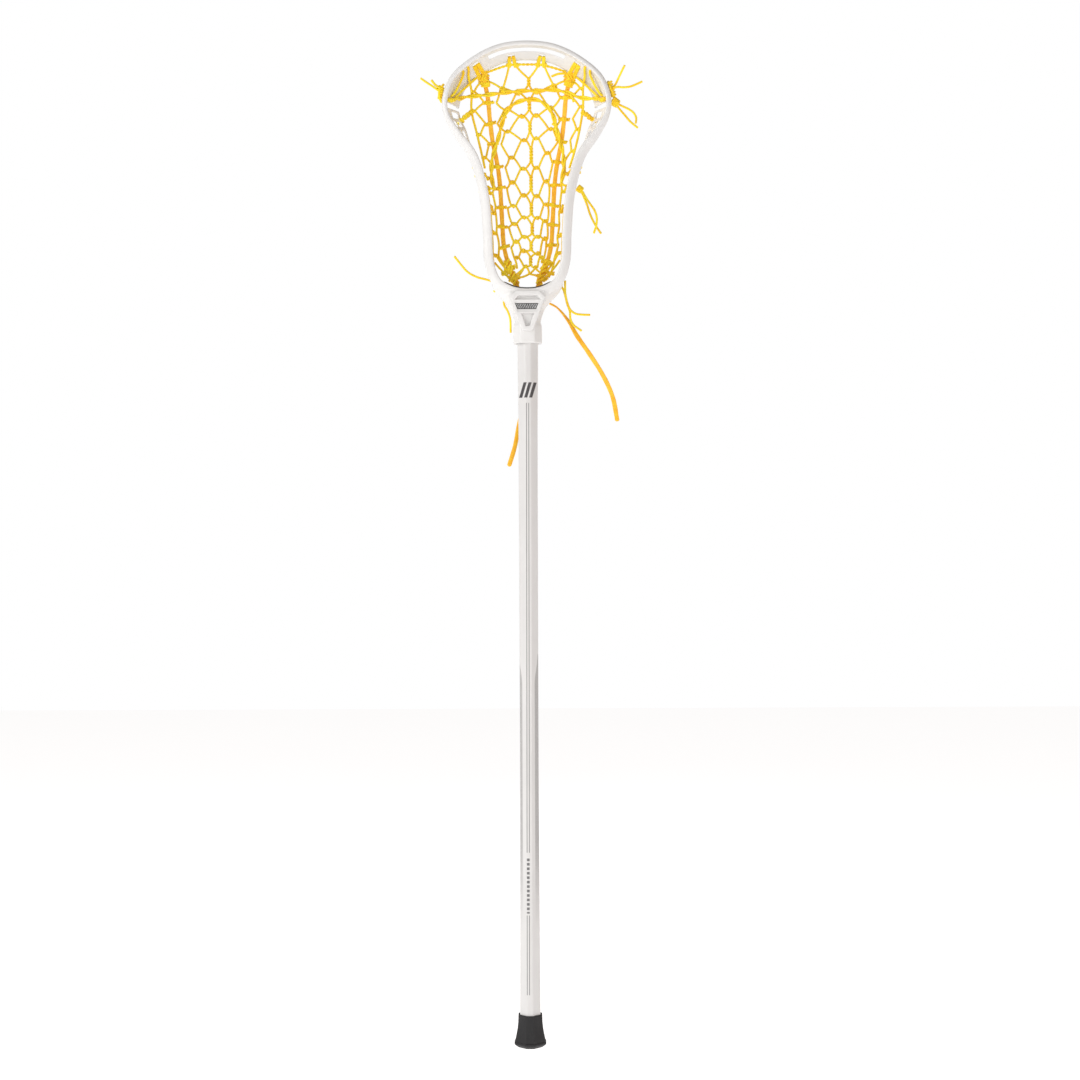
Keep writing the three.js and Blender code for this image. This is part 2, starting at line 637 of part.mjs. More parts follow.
// ---------------------------------------------------------------- materials
const finish = (color, roughness, metalness = 0) => new THREE.MeshStandardMaterial({
  color, roughness, metalness,
});
const whitePlastic = () => finish(0xf1efec, 0.35);
const whitePaint = () => finish(0xe9e6e3, 0.3, 0.1);
const yellowNylon = () => finish(0xe6bd1f, 0.6);
const amberLeather = () => finish(0xe9a02c, 0.55);
const darkFoam = () => finish(0x2b2c30, 0.9);
const blackRubber = () => finish(0x2a282a, 0.75);
const steel = () => finish(0xb9bbbe, 0.3, 0.9);

// ---------------------------------------------------------------- assembly
const lacrosseStick = new THREE.Group();

function addPart(name, geometry, material) {
  const mesh = new THREE.Mesh(geometry, material);
  mesh.name = name;
  lacrosseStick.add(mesh);
  return mesh;
}

addPart('head', makeHead(), whitePlastic());
addPart('ball_stop', makeBallStop(), darkFoam());
addPart('shaft', makeShaft(), whitePaint());
addPart('end_cap', makeEndCap(), blackRubber());
addPart('head_screw', makeHeadScrew(), steel());

addPart('pocket_net_centre', makeNetPanel(
  (z) => -leatherX(z) + leatherClear,
  (z) => leatherX(z) - leatherClear,
), yellowNylon());
for (const [name, side] of [['left', -1], ['right', 1]]) {
  const leatherEdge = (z) => side * (leatherX(z) + leatherClear);
  const outerEdge = (z) => side * netEdgeX(z);
  addPart(`pocket_net_${name}`, makeNetPanel(leatherEdge, outerEdge), yellowNylon());
  addPart(`leather_runner_${name}`, makeLeatherRunner(side), amberLeather());
  addPart(`side_lacing_${name}`, makeSideLacing(side), yellowNylon());
  addPart(`selvage_string_${name}`, makeSelvage(side), yellowNylon());
  addPart(`corner_tie_${name}`, makeCornerTie(side), yellowNylon());
  const topKnot = addPart(`leather_knot_${name}`, knotBall(5, 3.8, 4.4), amberLeather());
  topKnot.position.set(side * 47, pocketDepth(47, 1055) + 2, 1055);
}
addPart('top_string', makeTopString(), yellowNylon());
addPart('shooting_string_upper', makeShootingString(UPPER_SHOOTING, UPPER_SHOOTING_END), yellowNylon());
addPart('shooting_string_arch', makeShootingString(ARCH_SHOOTING), yellowNylon());

addPart('rim_knot_left', knotBall(4, 3.4, 7.5), yellowNylon()).position.set(-93.4, -1.6, 1035);
const rimWrap = tube([[91, -2.4, 1045], [93.2, -2.4, 1037], [94.9, -2.4, 1029.6]], 5, 4);
addPart('rim_wrap_right', rimWrap, yellowNylon());
addPart('rim_knot_right', knotBall(4.8, 4.4, 5), yellowNylon()).position.set(97.4, -2.4, 1023.2);
addPart('rail_knot_right', knotBall(4.2, 4.2, 4.2), yellowNylon()).position.set(57.2, 2, 930);

for (const [name, route] of Object.entries(STRING_TAILS)) {
  addPart(name, tube(route, TAIL), yellowNylon());
}
for (const [name, route] of Object.entries(LEATHER_TAILS)) {
  addPart(name, strap(route, LEATHER_WIDTH, LEATHER_THICKNESS, 26), amberLeather());
}

export default lacrosseStick;
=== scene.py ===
import math
from functools import reduce

import bmesh
import bpy
import numpy as np
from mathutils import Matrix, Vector


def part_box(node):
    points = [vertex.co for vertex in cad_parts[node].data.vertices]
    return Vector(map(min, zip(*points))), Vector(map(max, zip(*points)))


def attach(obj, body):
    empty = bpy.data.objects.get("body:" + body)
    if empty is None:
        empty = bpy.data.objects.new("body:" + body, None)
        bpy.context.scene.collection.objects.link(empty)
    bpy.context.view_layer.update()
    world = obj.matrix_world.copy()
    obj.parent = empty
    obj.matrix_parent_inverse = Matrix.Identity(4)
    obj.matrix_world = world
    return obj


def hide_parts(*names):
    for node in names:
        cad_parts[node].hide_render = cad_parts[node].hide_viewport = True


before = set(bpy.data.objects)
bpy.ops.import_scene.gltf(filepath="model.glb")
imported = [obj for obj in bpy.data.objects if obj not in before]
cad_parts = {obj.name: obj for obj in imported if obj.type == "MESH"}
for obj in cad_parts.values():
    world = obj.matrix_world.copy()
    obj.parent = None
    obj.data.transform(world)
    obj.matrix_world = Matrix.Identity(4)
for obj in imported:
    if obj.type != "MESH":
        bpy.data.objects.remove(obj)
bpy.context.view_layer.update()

# The lacrosse stick's looks. Lengths are in millimetres here and become metres when a mesh is made.
MM = 0.001


def box_mm(node):
    low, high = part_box(node)
    return np.array(low) / MM, np.array(high) / MM


# ---------------------------------------------------------------- sizes of the head and the pocket
HEAD_LOW, HEAD_HIGH = box_mm("head")
HEAD_TOP = HEAD_HIGH[2]
HEAD_BOTTOM = 810.0
FRONT_AT_THROAT, FRONT_RISE = -17.0, 15.0
BACK_AT_THROAT, BACK_DROP, BACK_RISE = 18.0, 15.0, 11.0
LOWER_RIM_WIDTH, SCOOP_RIM_WIDTH, RIM_DEPTH = 10.5, 6.0, 4.5
LOWER_INSET, SCOOP_INSET = 3.0, 13.9
RIGHT_OUTLINE = [
    (20, 813.2), (37.2, 824.4), (46, 846.5), (48.2, 882), (51.7, 921), (62.4, 960), (77.7, 983.5),
    (88.8, 1005), (91.6, 1026), (83.2, 1051), (62, 1071.3), (32, 1087.2),
]
NET_EDGE = [
    (832.7, 25.8), (838.9, 28.8), (863.8, 36), (884.4, 38), (905, 39), (930.5, 42.1), (950.7, 45.1),
    (970.9, 50.2), (996, 55.8), (1020.8, 61.8), (1062.7, 61.5),
]
LEATHER_LINE = [
    (822.5, 10.3), (830.9, 12.6), (851.9, 20.8), (872.8, 25.9), (895.6, 27.6), (918.3, 28.8), (940.7, 30.1),
    (964, 33), (988.9, 38), (1012.7, 40.9), (1036, 43), (1049, 45.8),
]
POCKET_SAG, POCKET_TOP = 16.0, 1068
WALL_SET_BACK = 6.5  # from the moulding's front and back to where its side wall's openings may start
LACE = 2.35         # the net's lacing
STRING = 2.65       # sidewall string and throw strings
LEATHER_WIDTH, LEATHER_THICKNESS = 4.9, 2.0


# ---------------------------------------------------------------- lines and curves
def ramp(value, start, end):
    return np.clip((value - start) / (end - start), 0, 1)


def mix(a, b, share):
    return a + (b - a) * share


def profile(table, height):
    return np.interp(height, [row[0] for row in table], [row[1] for row in table])


def mirrored(points):
    return [(-p[0], *p[1:]) for p in points]


def unit(vector):
    return vector / np.linalg.norm(vector)


def distances(line):
    """How far along the line each of its points is."""
    return np.concatenate([[0], np.cumsum(np.linalg.norm(np.diff(line, axis=0), axis=1))])


def resample(line, step):
    """The same line with evenly spaced points about one step apart."""
    line = np.asarray(line, float)
    along = distances(line)
    count = max(2, int(round(along[-1] / step)) + 1)
    at = np.linspace(0, along[-1], count)
    return np.stack([np.interp(at, along, line[:, k]) for k in range(line.shape[1])], axis=1)


def length_of(line):
    return float(np.linalg.norm(np.diff(line, axis=0), axis=1).sum())


def spline(points, step=0.8, closed=False, per_span=24):
    """A centripetal Catmull-Rom spline through the points, evenly spaced."""
    p = np.asarray(points, float)
    if closed:
        p = np.concatenate([p[-1:], p, p[:2]])
    else:
        p = np.concatenate([[2 * p[0] - p[1]], p, [2 * p[-1] - p[-2]]])
    t = np.linspace(0, 1, per_span, endpoint=False)[:, None]
    line = []
    for i in range(1, len(p) - 2):
        p0, p1, p2, p3 = p[i - 1:i + 3]
        d0, d1, d2 = (max(np.linalg.norm(b - a) ** 0.5, 1e-6) for a, b in ((p0, p1), (p1, p2), (p2, p3)))
        m1 = d1 * ((p1 - p0) / d0 - (p2 - p0) / (d0 + d1) + (p2 - p1) / d1)
        m2 = d1 * ((p2 - p1) / d1 - (p3 - p1) / (d1 + d2) + (p3 - p2) / d2)
        line.append((2 * t**3 - 3 * t**2 + 1) * p1 + (t**3 - 2 * t**2 + t) * m1
                    + (3 * t**2 - 2 * t**3) * p2 + (t**3 - t**2) * m2)
    line.append(p[-2:-1])
    return resample(np.concatenate(line), step)


OUTLINE = spline(
    [(0, HEAD_BOTTOM), *RIGHT_OUTLINE, (0, HEAD_TOP), *reversed(mirrored(RIGHT_OUTLINE))],
    step=0.25, closed=True, per_span=80,
)
PERIMETER = length_of(OUTLINE)


def outline_at(place):
    """Point and direction of the head's outline at a share of its length, right side first."""
    at = np.arange(len(OUTLINE)) / (len(OUTLINE) - 1)
    here, there = (np.array([np.interp((place + d) % 1, at, OUTLINE[:, k]) for k in (0, 1)])
                   for d in (-0.0008, 0.0008))
    point = np.array([np.interp(place % 1, at, OUTLINE[:, k]) for k in (0, 1)])
    return point, unit(there - here)


def head_point(place, inward, depth):
    point, along = outline_at(place)
    return np.array([point[0] - along[1] * inward, depth, point[1] + along[0] * inward])


def place_at_height(height, side=1):
    half = OUTLINE[:len(OUTLINE) // 2]
    index = int(np.searchsorted(half[:, 1], height))
    place = index / (len(OUTLINE) - 1)
    return place if side > 0 else 1 - place


def front_depth(z):
    return FRONT_AT_THROAT + FRONT_RISE * ramp(z, 930, HEAD_TOP) ** 2


def back_depth(z):
    below = (1 - ramp(z, HEAD_BOTTOM, 932)) ** 2
    return BACK_AT_THROAT + BACK_DROP * (1 - below) - BACK_RISE * ramp(z, 960, HEAD_TOP) ** 2


def toward_scoop(z):
    return ramp(z, 972, 1010)


def rim_width(z):
    return mix(LOWER_RIM_WIDTH, SCOOP_RIM_WIDTH, toward_scoop(z))


def wall_thickness(z):
    return mix(3.0, 2.2, toward_scoop(z))


def rail_width(z):
    return mix(5.0, 3.6, toward_scoop(z))


def back_inset(z):
    return mix(LOWER_INSET, SCOOP_INSET, ramp(z, 958, 992))


def wall_span(z):
    """The depths between which the side wall's openings may lie."""
    return front_depth(z) + WALL_SET_BACK, back_depth(z) - WALL_SET_BACK


def wall_point(place, share, lift=0.0):
    """A point in the middle of the side wall: share 0 is at the front rim, 1 at the back rail."""
    z = outline_at(place)[0][1]
    inward = mix(rim_width(z) / 2 - 1, back_inset(z) + 1, share) + wall_thickness(z) / 2 + lift
    return head_point(place, inward, mix(*wall_span(z), share))


def pocket_depth(x, z):
    rail = back_depth(z + 20 * ramp(z, 1000, POCKET_TOP)) - 2.5
    along = ramp(z, HEAD_BOTTOM + 10, POCKET_TOP) ** 0.8
    across = 1 - (x / (profile(NET_EDGE, z) + 4)) ** 2
    return rail + POCKET_SAG * np.sin(np.pi * along) * np.maximum(across, 0)


def on_pocket(x, z, lift=0.0):
    return np.array([x, pocket_depth(x, z) + lift, z])


# ---------------------------------------------------------------- meshes
class Shell:
    """The vertices, faces and texture coordinates of one piece, in millimetres."""

    def __init__(self):
        self.points, self.faces, self.uv, self.count = [], [], [], 0

    def loft(self, rings, along=None, closed=False, capped=True):
        rings = np.asarray(rings, float)
        rows, sides = rings.shape[:2]
        along = np.arange(rows, dtype=float) if along is None else along
        start = self.count
        self.points.append(rings.reshape(-1, 3))
        self.count += rows * sides
        spans = rows if closed else rows - 1
        for i in range(spans):
            a, b = start + i * sides, start + ((i + 1) % rows) * sides
            v0, v1 = along[i], along[i + 1] if i + 1 < rows else along[i] + 1
            for j in range(sides):
                k = (j + 1) % sides
                self.faces.append((a + j, a + k, b + k, b + j))
                u0, u1 = j / sides, (j + 1) / sides
                self.uv += [(u0, v0), (u1, v0), (u1, v1), (u0, v1)]
        if capped and not closed:
            for row, flip in ((0, True), (rows - 1, False)):
                first = start + row * sides
                self.points.append(rings[row].mean(axis=0)[None])
                for j in range(sides):
                    face = (self.count, first + j, first + (j + 1) % sides)
                    self.faces.append(face[::-1] if flip else face)
                    self.uv += [(0.5, along[row])] * 3
                self.count += 1

    def build(self, name, material, sharp=None, level=0):
        mesh = bpy.data.meshes.new(name)
        mesh.from_pydata((np.concatenate(self.points) * MM).tolist(), [], self.faces)
        layer = mesh.uv_layers.new(name="UVMap")
        if len(self.uv) == len(mesh.loops):
            layer.data.foreach_set("uv", np.array(self.uv, np.float32).ravel())
        return finished(mesh, name, material, sharp, level)


def finished(mesh, name, material, sharp=None, level=0):
    """An object from a mesh, with its faces turned out, smooth shading and its material."""
    work = bmesh.new()
    work.from_mesh(mesh)
    bmesh.ops.recalc_face_normals(work, faces=work.faces)
    work.to_mesh(mesh)
    work.free()
    mesh.shade_smooth()
    if sharp:
        mesh.set_sharp_from_angle(angle=math.radians(sharp))
    piece = bpy.data.objects.new(name, mesh)
    bpy.context.scene.collection.objects.link(piece)
    if material:
        mesh.materials.append(material)
    if level:
        smooth = piece.modifiers.new("smooth", "SUBSURF")
        smooth.levels = smooth.render_levels = level
    return piece


def applied(piece):
    """The piece with its modifiers turned into mesh."""
    graph = bpy.context.evaluated_depsgraph_get()
    graph.update()
    mesh = bpy.data.meshes.new_from_object(piece.evaluated_get(graph))
    piece.modifiers.clear()
    old, piece.data = piece.data, mesh
    bpy.data.meshes.remove(old)
    return piece


def combined(piece, others, operation):
    """Boolean union or difference with closed helper pieces, which are then removed."""
    for other in others:
        change = piece.modifiers.new("cut", "BOOLEAN")
        change.operation, change.object, change.solver = operation, other, "MANIFOLD"
        applied(piece)
        bpy.data.objects.remove(other)
    return piece


def settle(piece, body, slot, *nodes):
    """The piece rides on its body and stands for its CAD nodes; slot is not used."""
    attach(piece, body)
    if nodes:
        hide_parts(*nodes)
    return piece


def strung(shell, name, *nodes):
    """A piece of yellow string on the stick."""
    return settle(shell.build(name, NYLON), "stick", "yellow_nylon", *nodes)


def frames(line, flat=False):
    """Direction, side and outward vectors along a line. Flat keeps the side in the X-Z plane."""
    along = np.gradient(line, axis=0)
    along /= np.linalg.norm(along, axis=1)[:, None]
    if flat:
        side = np.stack([along[:, 2], np.zeros(len(line)), -along[:, 0]], axis=1)
        side /= np.linalg.norm(side, axis=1)[:, None]
        return along, side, np.cross(side, along)
    side = np.zeros_like(along)
    side[0] = unit(np.cross(along[0], (0, 1, 0) if abs(along[0][1]) < 0.9 else (1, 0, 0)))
    for i in range(1, len(line)):
        side[i] = unit(side[i - 1] - along[i] * side[i - 1].dot(along[i]))
    return along, side, np.cross(along, side)


def circle(diameter, sides=10):
    angle = np.arange(sides) * 2 * np.pi / sides
    return np.stack([np.cos(angle), np.sin(angle)], axis=1) * diameter / 2


def rounded_box(width, height, radius, arc=3):
    """A rounded rectangle as a closed row of points."""
    points = []
    for quarter, (sx, sy) in enumerate(((1, 1), (-1, 1), (-1, -1), (1, -1))):
        for i in range(arc + 1):
            angle = (quarter + i / arc) * math.pi / 2
            points.append((sx * (width / 2 - radius) + radius * math.cos(angle),
                           sy * (height / 2 - radius) + radius * math.sin(angle)))
    return np.array(points)


def sweep(shell, line, section, flat=False, domed=True):
    """Adds a closed solid that follows a line, with softly rounded ends."""
    line = np.asarray(line, float)
    along, side, out = frames(line, flat)
    section = np.broadcast_to(section, (len(line), *np.shape(section)[-2:]))
    rings = (line[:, None] + section[..., 0, None] * side[:, None] + section[..., 1, None] * out[:, None])
    v = distances(line)
    if domed:
        reach = np.abs(section[0]).min(axis=0).max() + np.abs(section[0]).max() * 0.4
        heads = [(0.45, 0.55), (0.83, 0.3)]
        first = [line[0] + (rings[0] - line[0]) * s - along[0] * reach * p for s, p in heads]
        last = [line[-1] + (rings[-1] - line[-1]) * s + along[-1] * reach * p for s, p in reversed(heads)]
        rings = np.concatenate([first, rings, last])
        v = np.concatenate([[v[0] - 0.6, v[0] - 0.3], v, [v[-1] + 0.3, v[-1] + 0.6]])
    shell.loft(rings, v)


def cord(shell, points, diameter=LACE, step=0.8, sides=10):
    sweep(shell, spline(points, step), circle(diameter, sides))


def twisted(shell, line, strands, diameter, pitch, gap=None, phase=0.0):
    """Strands laid round each other along a line."""
    line = np.asarray(line, float)
    _, side, out = frames(line)
    at = distances(line)
    gap = diameter * 0.96 if gap is None else gap
    for k in range(strands):
        angle = (2 * np.pi * (at / pitch + k / strands) + phase)[:, None]
        sweep(shell, line + gap / 2 * (np.cos(angle) * side + np.sin(angle) * out), circle(diameter))


def wound(shell, centre, axis, turns, radius, width, diameter, squash=1.0, phase=0.0):
    """A cord wound round an axis: the body of a knot. squash flattens it from front to back."""
    centre, axis = np.asarray(centre, float), unit(np.asarray(axis, float))
    front = unit(np.cross(axis, (0, 1, 0) if abs(axis[1]) < 0.8 else (1, 0, 0)))
    other = np.cross(axis, front)
    t = np.linspace(0, 1, max(10, int(turns * 14)))[:, None]
    angle = 2 * np.pi * turns * t + phase
    loop = np.cos(angle) * front + np.sin(angle) * other * squash
    sweep(shell, centre + axis * (t - 0.5) * width + radius * loop, circle(diameter, 8))


def knot(shell, centre, axis=(1, 0, 0), size=1.0, phase=0.0):
    """A small overhand knot, about 5.5 by 4.5 mm."""
    wound(shell, centre, axis, 2.3, 1.3 * size, 3.4 * size, 1.8 * size, 0.9, phase)
    slant = np.asarray(axis, float) + np.array([0, 0.1, 0.75 * math.sin(phase + 1.3)])
    wound(shell, centre, slant, 1.1, 1.8 * size, 0.9 * size, 1.6 * size, 0.85, phase + 2)


# ---------------------------------------------------------------- materials
class Nodes:
    """A short way to write a node material."""

    def __init__(self, name):
        self.material = bpy.data.materials.new(name)
        self.material.use_nodes = True
        self.tree = self.material.node_tree
        self.shader = self.tree.nodes["Principled BSDF"]

    def add(self, kind, *inputs, **settings):
        node = self.tree.nodes.new("ShaderNode" + kind)
        for key, value in settings.items():
            if key in node.inputs.keys():
                self.set(node.inputs[key], value)
            else:
                setattr(node, key.lower(), value)
        for socket, value in zip(node.inputs, inputs):
            self.set(socket, value)
        return node

    def set(self, socket, value):
        if isinstance(value, bpy.types.NodeSocket):
            self.tree.links.new(value, socket)
        elif value is not None:
            socket.default_value = value

    def math(self, operation, *values):
        return self.add("Math", *values, operation=operation).outputs[0]

    def blend(self, share, a, b):
        node = self.add("Mix", data_type="RGBA")
        for socket, value in zip((node.inputs[0], node.inputs[6], node.inputs[7]), (share, a, b)):
            self.set(socket, value)
        return node.outputs[2]

    def spread(self, value, low, high, to_low=0.0, to_high=1.0):
        node = self.add("MapRange", value, low, high, to_low, to_high)
        node.interpolation_type = "SMOOTHSTEP"
        return node.outputs[0]

    def noise(self, scale, detail=3.0, where=None, rough=0.5):
        node = self.add("TexNoise", Scale=scale, Detail=detail, Roughness=rough)
        self.set(node.inputs["Vector"], where or self.place())
        return node.outputs["Fac"]

    def place(self):
        return self.add("TexCoord").outputs["Object"]

    def uv(self):
        return self.add("SeparateXYZ", self.add("TexCoord").outputs["UV"]).outputs

    def bump(self, height, distance, strength=1.0, under=None):
        node = self.add("Bump", Strength=strength, Distance=distance, Height=height)
        if under:
            self.set(node.inputs["Normal"], under)
        return node.outputs[0]

    def finish(self, **inputs):
        for key, value in inputs.items():
            self.set(self.shader.inputs[key.replace("_", " ")], value)
        return self.material


def grey(value):
    return (value, value, value, 1.0)


def box_mask(n, position, low, high, soft):
    """1 where the coordinate lies between low and high, with soft edges."""
    rise = n.spread(position, low - soft, low + soft)
    fall = n.spread(position, high - soft, high + soft, 1.0, 0.0)
    return n.math("MULTIPLY", rise, fall)


def any_of(n, *masks):
    return reduce(lambda a, b: n.math("MAXIMUM", a, b), masks)


def both(n, *masks):
    return reduce(lambda a, b: n.math("MULTIPLY", a, b), masks)


# Heights of the shaft's printed marks, in metres.
HAIRLINE_RUNS, TICK_RUN, MARK_RUN = ((0.2117, 0.6973), (0.058, 0.144)), (0.146, 0.207), (0.7030, 0.7195)


def shaft_lacquer():
    """Pearl lacquer with two hairlines, a plain generic mark, a row of ticks and grey grip strips."""
    n = Nodes("shaft_lacquer")
    x, y, z = n.add("SeparateXYZ", n.place()).outputs
    in_front = n.spread(y, -0.001, 0.0, 1.0, 0.0)
    pearl = n.noise(900.0, 2.0)
    cloud = n.noise(9.0, 2.0)
    base = n.blend(n.spread(cloud, 0.3, 0.7), (0.665, 0.654, 0.645, 1), (0.70, 0.688, 0.679, 1))
    base = n.blend(n.spread(pearl, 0.62, 0.8, 0.0, 0.12), base, (0.79, 0.775, 0.79, 1))

    grip_top = n.math("MULTIPLY", n.spread(z, 0.392, 0.426), 0.0032)
    inner = n.blend(n.spread(x, -0.001, 0.001), grey(0.0074), grey(0.0061))
    edge = n.math("SUBTRACT", n.math("ABSOLUTE", x), n.math("ADD", inner, grip_top))
    fade = both(n, n.spread(z, 0.12, 0.235), n.spread(z, 0.424, 0.427, 1.0, 0.0))
    grip = both(n, n.spread(edge, -0.0003, 0.0003), fade)
    weave = n.add("TexVoronoi", n.place(), Scale=900.0).outputs["Distance"]
    grip_colour = n.blend(n.spread(weave, 0.1, 0.7), (0.385, 0.377, 0.372, 1), (0.445, 0.436, 0.431, 1))
    colour = n.blend(grip, base, grip_colour)

    drift = n.add("MapRange", z, 0.06, 0.7, 0.0019, 0.0003).outputs[0]
    offset = n.math("ADD", x, drift)
    centre = n.math("ABSOLUTE", offset)
    hairline = box_mask(n, centre, 0.0009, 0.0016, 0.0001)
    run = any_of(n, *(box_mask(n, z, low, high, 0.0003) for low, high in HAIRLINE_RUNS))
    ticks = both(
        n, box_mask(n, centre, -0.01, 0.0015, 0.0001), box_mask(n, z, *TICK_RUN, 0.0003),
        n.spread(n.math("PINGPONG", z, 0.0024), 0.0008, 0.0011),
    )
    slant = n.math("SUBTRACT", x, n.math("MULTIPLY", n.math("SUBTRACT", z, 0.711), 0.3))
    bars = [box_mask(n, slant, middle - 0.0017, middle + 0.0017, 0.00015)
            for middle in (-0.0054, 0.0, 0.0054)]
    mark = both(n, any_of(n, *bars), box_mask(n, z, *MARK_RUN, 0.0002))
    ink = both(n, any_of(n, both(n, hairline, run), ticks), in_front)
    colour = n.blend(ink, colour, grey(0.15))
    colour = n.blend(both(n, mark, in_front), colour, (0.055, 0.052, 0.055, 1))

    orange_peel = n.bump(n.noise(700.0, 2.0), 0.00003, 0.12)
    texture = n.bump(n.math("MULTIPLY", weave, grip), 0.00012, 0.6, orange_peel)
    rough = n.blend(grip, grey(0.3), grey(0.6))
    return n.finish(Base_Color=colour, Roughness=rough, Normal=texture, Coat_Weight=0.35,
                    Coat_Roughness=0.12, Metallic=0.0)


def black_rubber():
    n = Nodes("cap_rubber")
    speck = n.noise(1500.0, 3.0)
    dust = n.spread(n.noise(60.0, 5.0, rough=0.65), 0.5, 0.78, 0.0, 0.35)
    colour = n.blend(dust, (0.0135, 0.013, 0.014, 1), (0.042, 0.041, 0.041, 1))
    normal = n.bump(speck, 0.00006, 0.5, n.bump(n.noise(90.0, 2.0), 0.0003, 0.2))
    return n.finish(Base_Color=colour, Roughness=n.spread(speck, 0.3, 0.7, 0.5, 0.66), Normal=normal,
                    Specular_IOR_Level=0.4)


def braided(name, dark, light):
    """Braided nylon: crossing strands round the cord, with a little painted shade in the valleys."""
    n = Nodes(name)
    u, v, _ = n.uv()
    across = n.math("MULTIPLY", u, 4 * 2 * math.pi)
    along = n.math("MULTIPLY", v, 2 * math.pi / 1.9)
    one = n.math("ABSOLUTE", n.math("SINE", n.math("MULTIPLY", n.math("ADD", across, along), 0.5)))
    two = n.math("ABSOLUTE", n.math("SINE", n.math("MULTIPLY", n.math("SUBTRACT", across, along), 0.5)))
    strand = n.math("POWER", n.math("MULTIPLY", one, two), 0.5)
    fibre = n.noise(5200.0, 2.0)
    patch = n.spread(n.noise(70.0, 3.0), 0.32, 0.7)
    colour = n.blend(patch, dark, light)
    # painted shade: the colour darkens in the valleys between the strands
    shade = n.spread(strand, 0.05, 0.7, 0.15, 0.0)
    colour = n.blend(shade, colour, (dark[0] * 0.8, dark[1] * 0.7, dark[2] * 0.7, 1))
    normal = n.bump(strand, 0.0003, 0.6, n.bump(fibre, 0.00003, 0.3))
    return n.finish(Base_Color=colour, Roughness=0.52, Normal=normal, Sheen_Weight=0.15, Sheen_Roughness=0.5,
                    Specular_IOR_Level=0.3)


def amber_leather():
    """Waxed thong: smooth grain on top, redder cut edges, fine creases across it."""
    n = Nodes("amber_leather")
    u, v, _ = n.uv()
    round_it = n.math("ABSOLUTE", n.math("SINE", n.math("MULTIPLY", u, 2 * math.pi)))
    edge = n.spread(round_it, 0.0, 0.55, 1.0, 0.0)
    mottled = n.spread(n.noise(160.0, 4.0, rough=0.6), 0.3, 0.72)
    colour = n.blend(mottled, (0.96, 0.44, 0.012, 1), (1.0, 0.58, 0.026, 1))
    colour = n.blend(n.math("MULTIPLY", edge, 0.4), colour, (0.86, 0.33, 0.008, 1))
    flat = n.add("CombineXYZ", n.math("MULTIPLY", u, 2.0), n.math("MULTIPLY", v, 0.9)).outputs[0]
    crease = n.noise(1.0, 4.0, where=flat)
    grain = n.add("TexVoronoi", n.place(), Scale=1900.0, feature="SMOOTH_F1").outputs["Distance"]
    normal = n.bump(grain, 0.00008, 0.4, n.bump(crease, 0.0005, 0.45))
    return n.finish(Base_Color=colour, Roughness=n.spread(mottled, 0, 1, 0.52, 0.4), Normal=normal,
                    Sheen_Weight=0.08, Specular_IOR_Level=0.45)


def dark_foam():
    n = Nodes("foam_pad")
    cells = n.add("TexVoronoi", n.place(), Scale=1100.0).outputs["Distance"]
    colour = n.blend(n.spread(cells, 0.1, 0.6), (0.018, 0.019, 0.024, 1), (0.045, 0.046, 0.055, 1))
    return n.finish(Base_Color=colour, Roughness=0.88, Normal=n.bump(cells, 0.0002, 0.5), Sheen_Weight=0.1)


def plated_steel():
    n = Nodes("plated_steel")
    brushed = n.noise(1.0, 3.0, where=n.add("Mapping", n.place(), Scale=(6000.0, 500.0, 6000.0)).outputs[0])
    return n.finish(Base_Color=n.blend(brushed, grey(0.52), grey(0.66)), Metallic=1.0,
                    Roughness=n.spread(brushed, 0.2, 0.8, 0.24, 0.38), Normal=n.bump(brushed, 0.00002, 0.2))


PANEL_LOW, PANEL_HIGH = 0.7976, 0.8042          # heights of the printed panel, in metres


def printed_panel(n, plastic):
    """A dark field of slanted hatching, printed over the plastic on the front of the throat."""
    x, y, z = n.add("SeparateXYZ", n.place()).outputs
    half = n.spread(z, PANEL_LOW, PANEL_HIGH, 0.0102, 0.0128)
    half.node.interpolation_type = "LINEAR"
    beyond = n.math("SUBTRACT", n.math("ABSOLUTE", n.math("ADD", x, 0.0008)), half)
    field = both(n, n.spread(beyond, -0.0002, 0.0002, 1.0, 0.0),
                 box_mask(n, z, PANEL_LOW, PANEL_HIGH, 0.0002), n.spread(y, -0.0184, -0.0180, 1.0, 0.0))
    wander = n.math("MULTIPLY", n.noise(420.0, 1.0), 0.0016)
    slanted = n.math("ADD", n.math("ADD", x, wander), n.math("MULTIPLY", z, 0.45))
    lines = n.spread(n.math("PINGPONG", slanted, 0.00095), 0.00052, 0.00066)
    inside = box_mask(n, z, PANEL_LOW + 0.0008, PANEL_HIGH - 0.0008, 0.0002)
    return n.blend(field, plastic, n.blend(n.math("MULTIPLY", lines, inside), grey(0.035), grey(0.5)))


def white_plastic():
    """Satin moulded nylon: faint flow marks, a fine grain and a little gloss variation, with its print."""
    n = Nodes("printed_plastic")
    flow = n.noise(14.0, 3.0)
    colour = n.blend(n.spread(flow, 0.35, 0.65), (0.725, 0.716, 0.704, 1), (0.755, 0.747, 0.736, 1))
    grain = n.noise(2600.0, 2.0)
    waves = n.noise(110.0, 2.0)
    normal = n.bump(grain, 0.00002, 0.35, n.bump(waves, 0.0003, 0.12))
    rough = n.spread(n.noise(45.0, 4.0), 0.3, 0.7, 0.3, 0.42)
    return n.finish(Base_Color=printed_panel(n, colour), Roughness=rough, Normal=normal,
                    Specular_IOR_Level=0.45)


PLASTIC = white_plastic()
LACQUER = shaft_lacquer()
RUBBER = black_rubber()
NYLON = braided("yellow_nylon", (0.98, 0.615, 0.01, 1), (1.0, 0.79, 0.025, 1))
LEATHER = amber_leather()
FOAM = dark_foam()
STEEL = plated_steel()


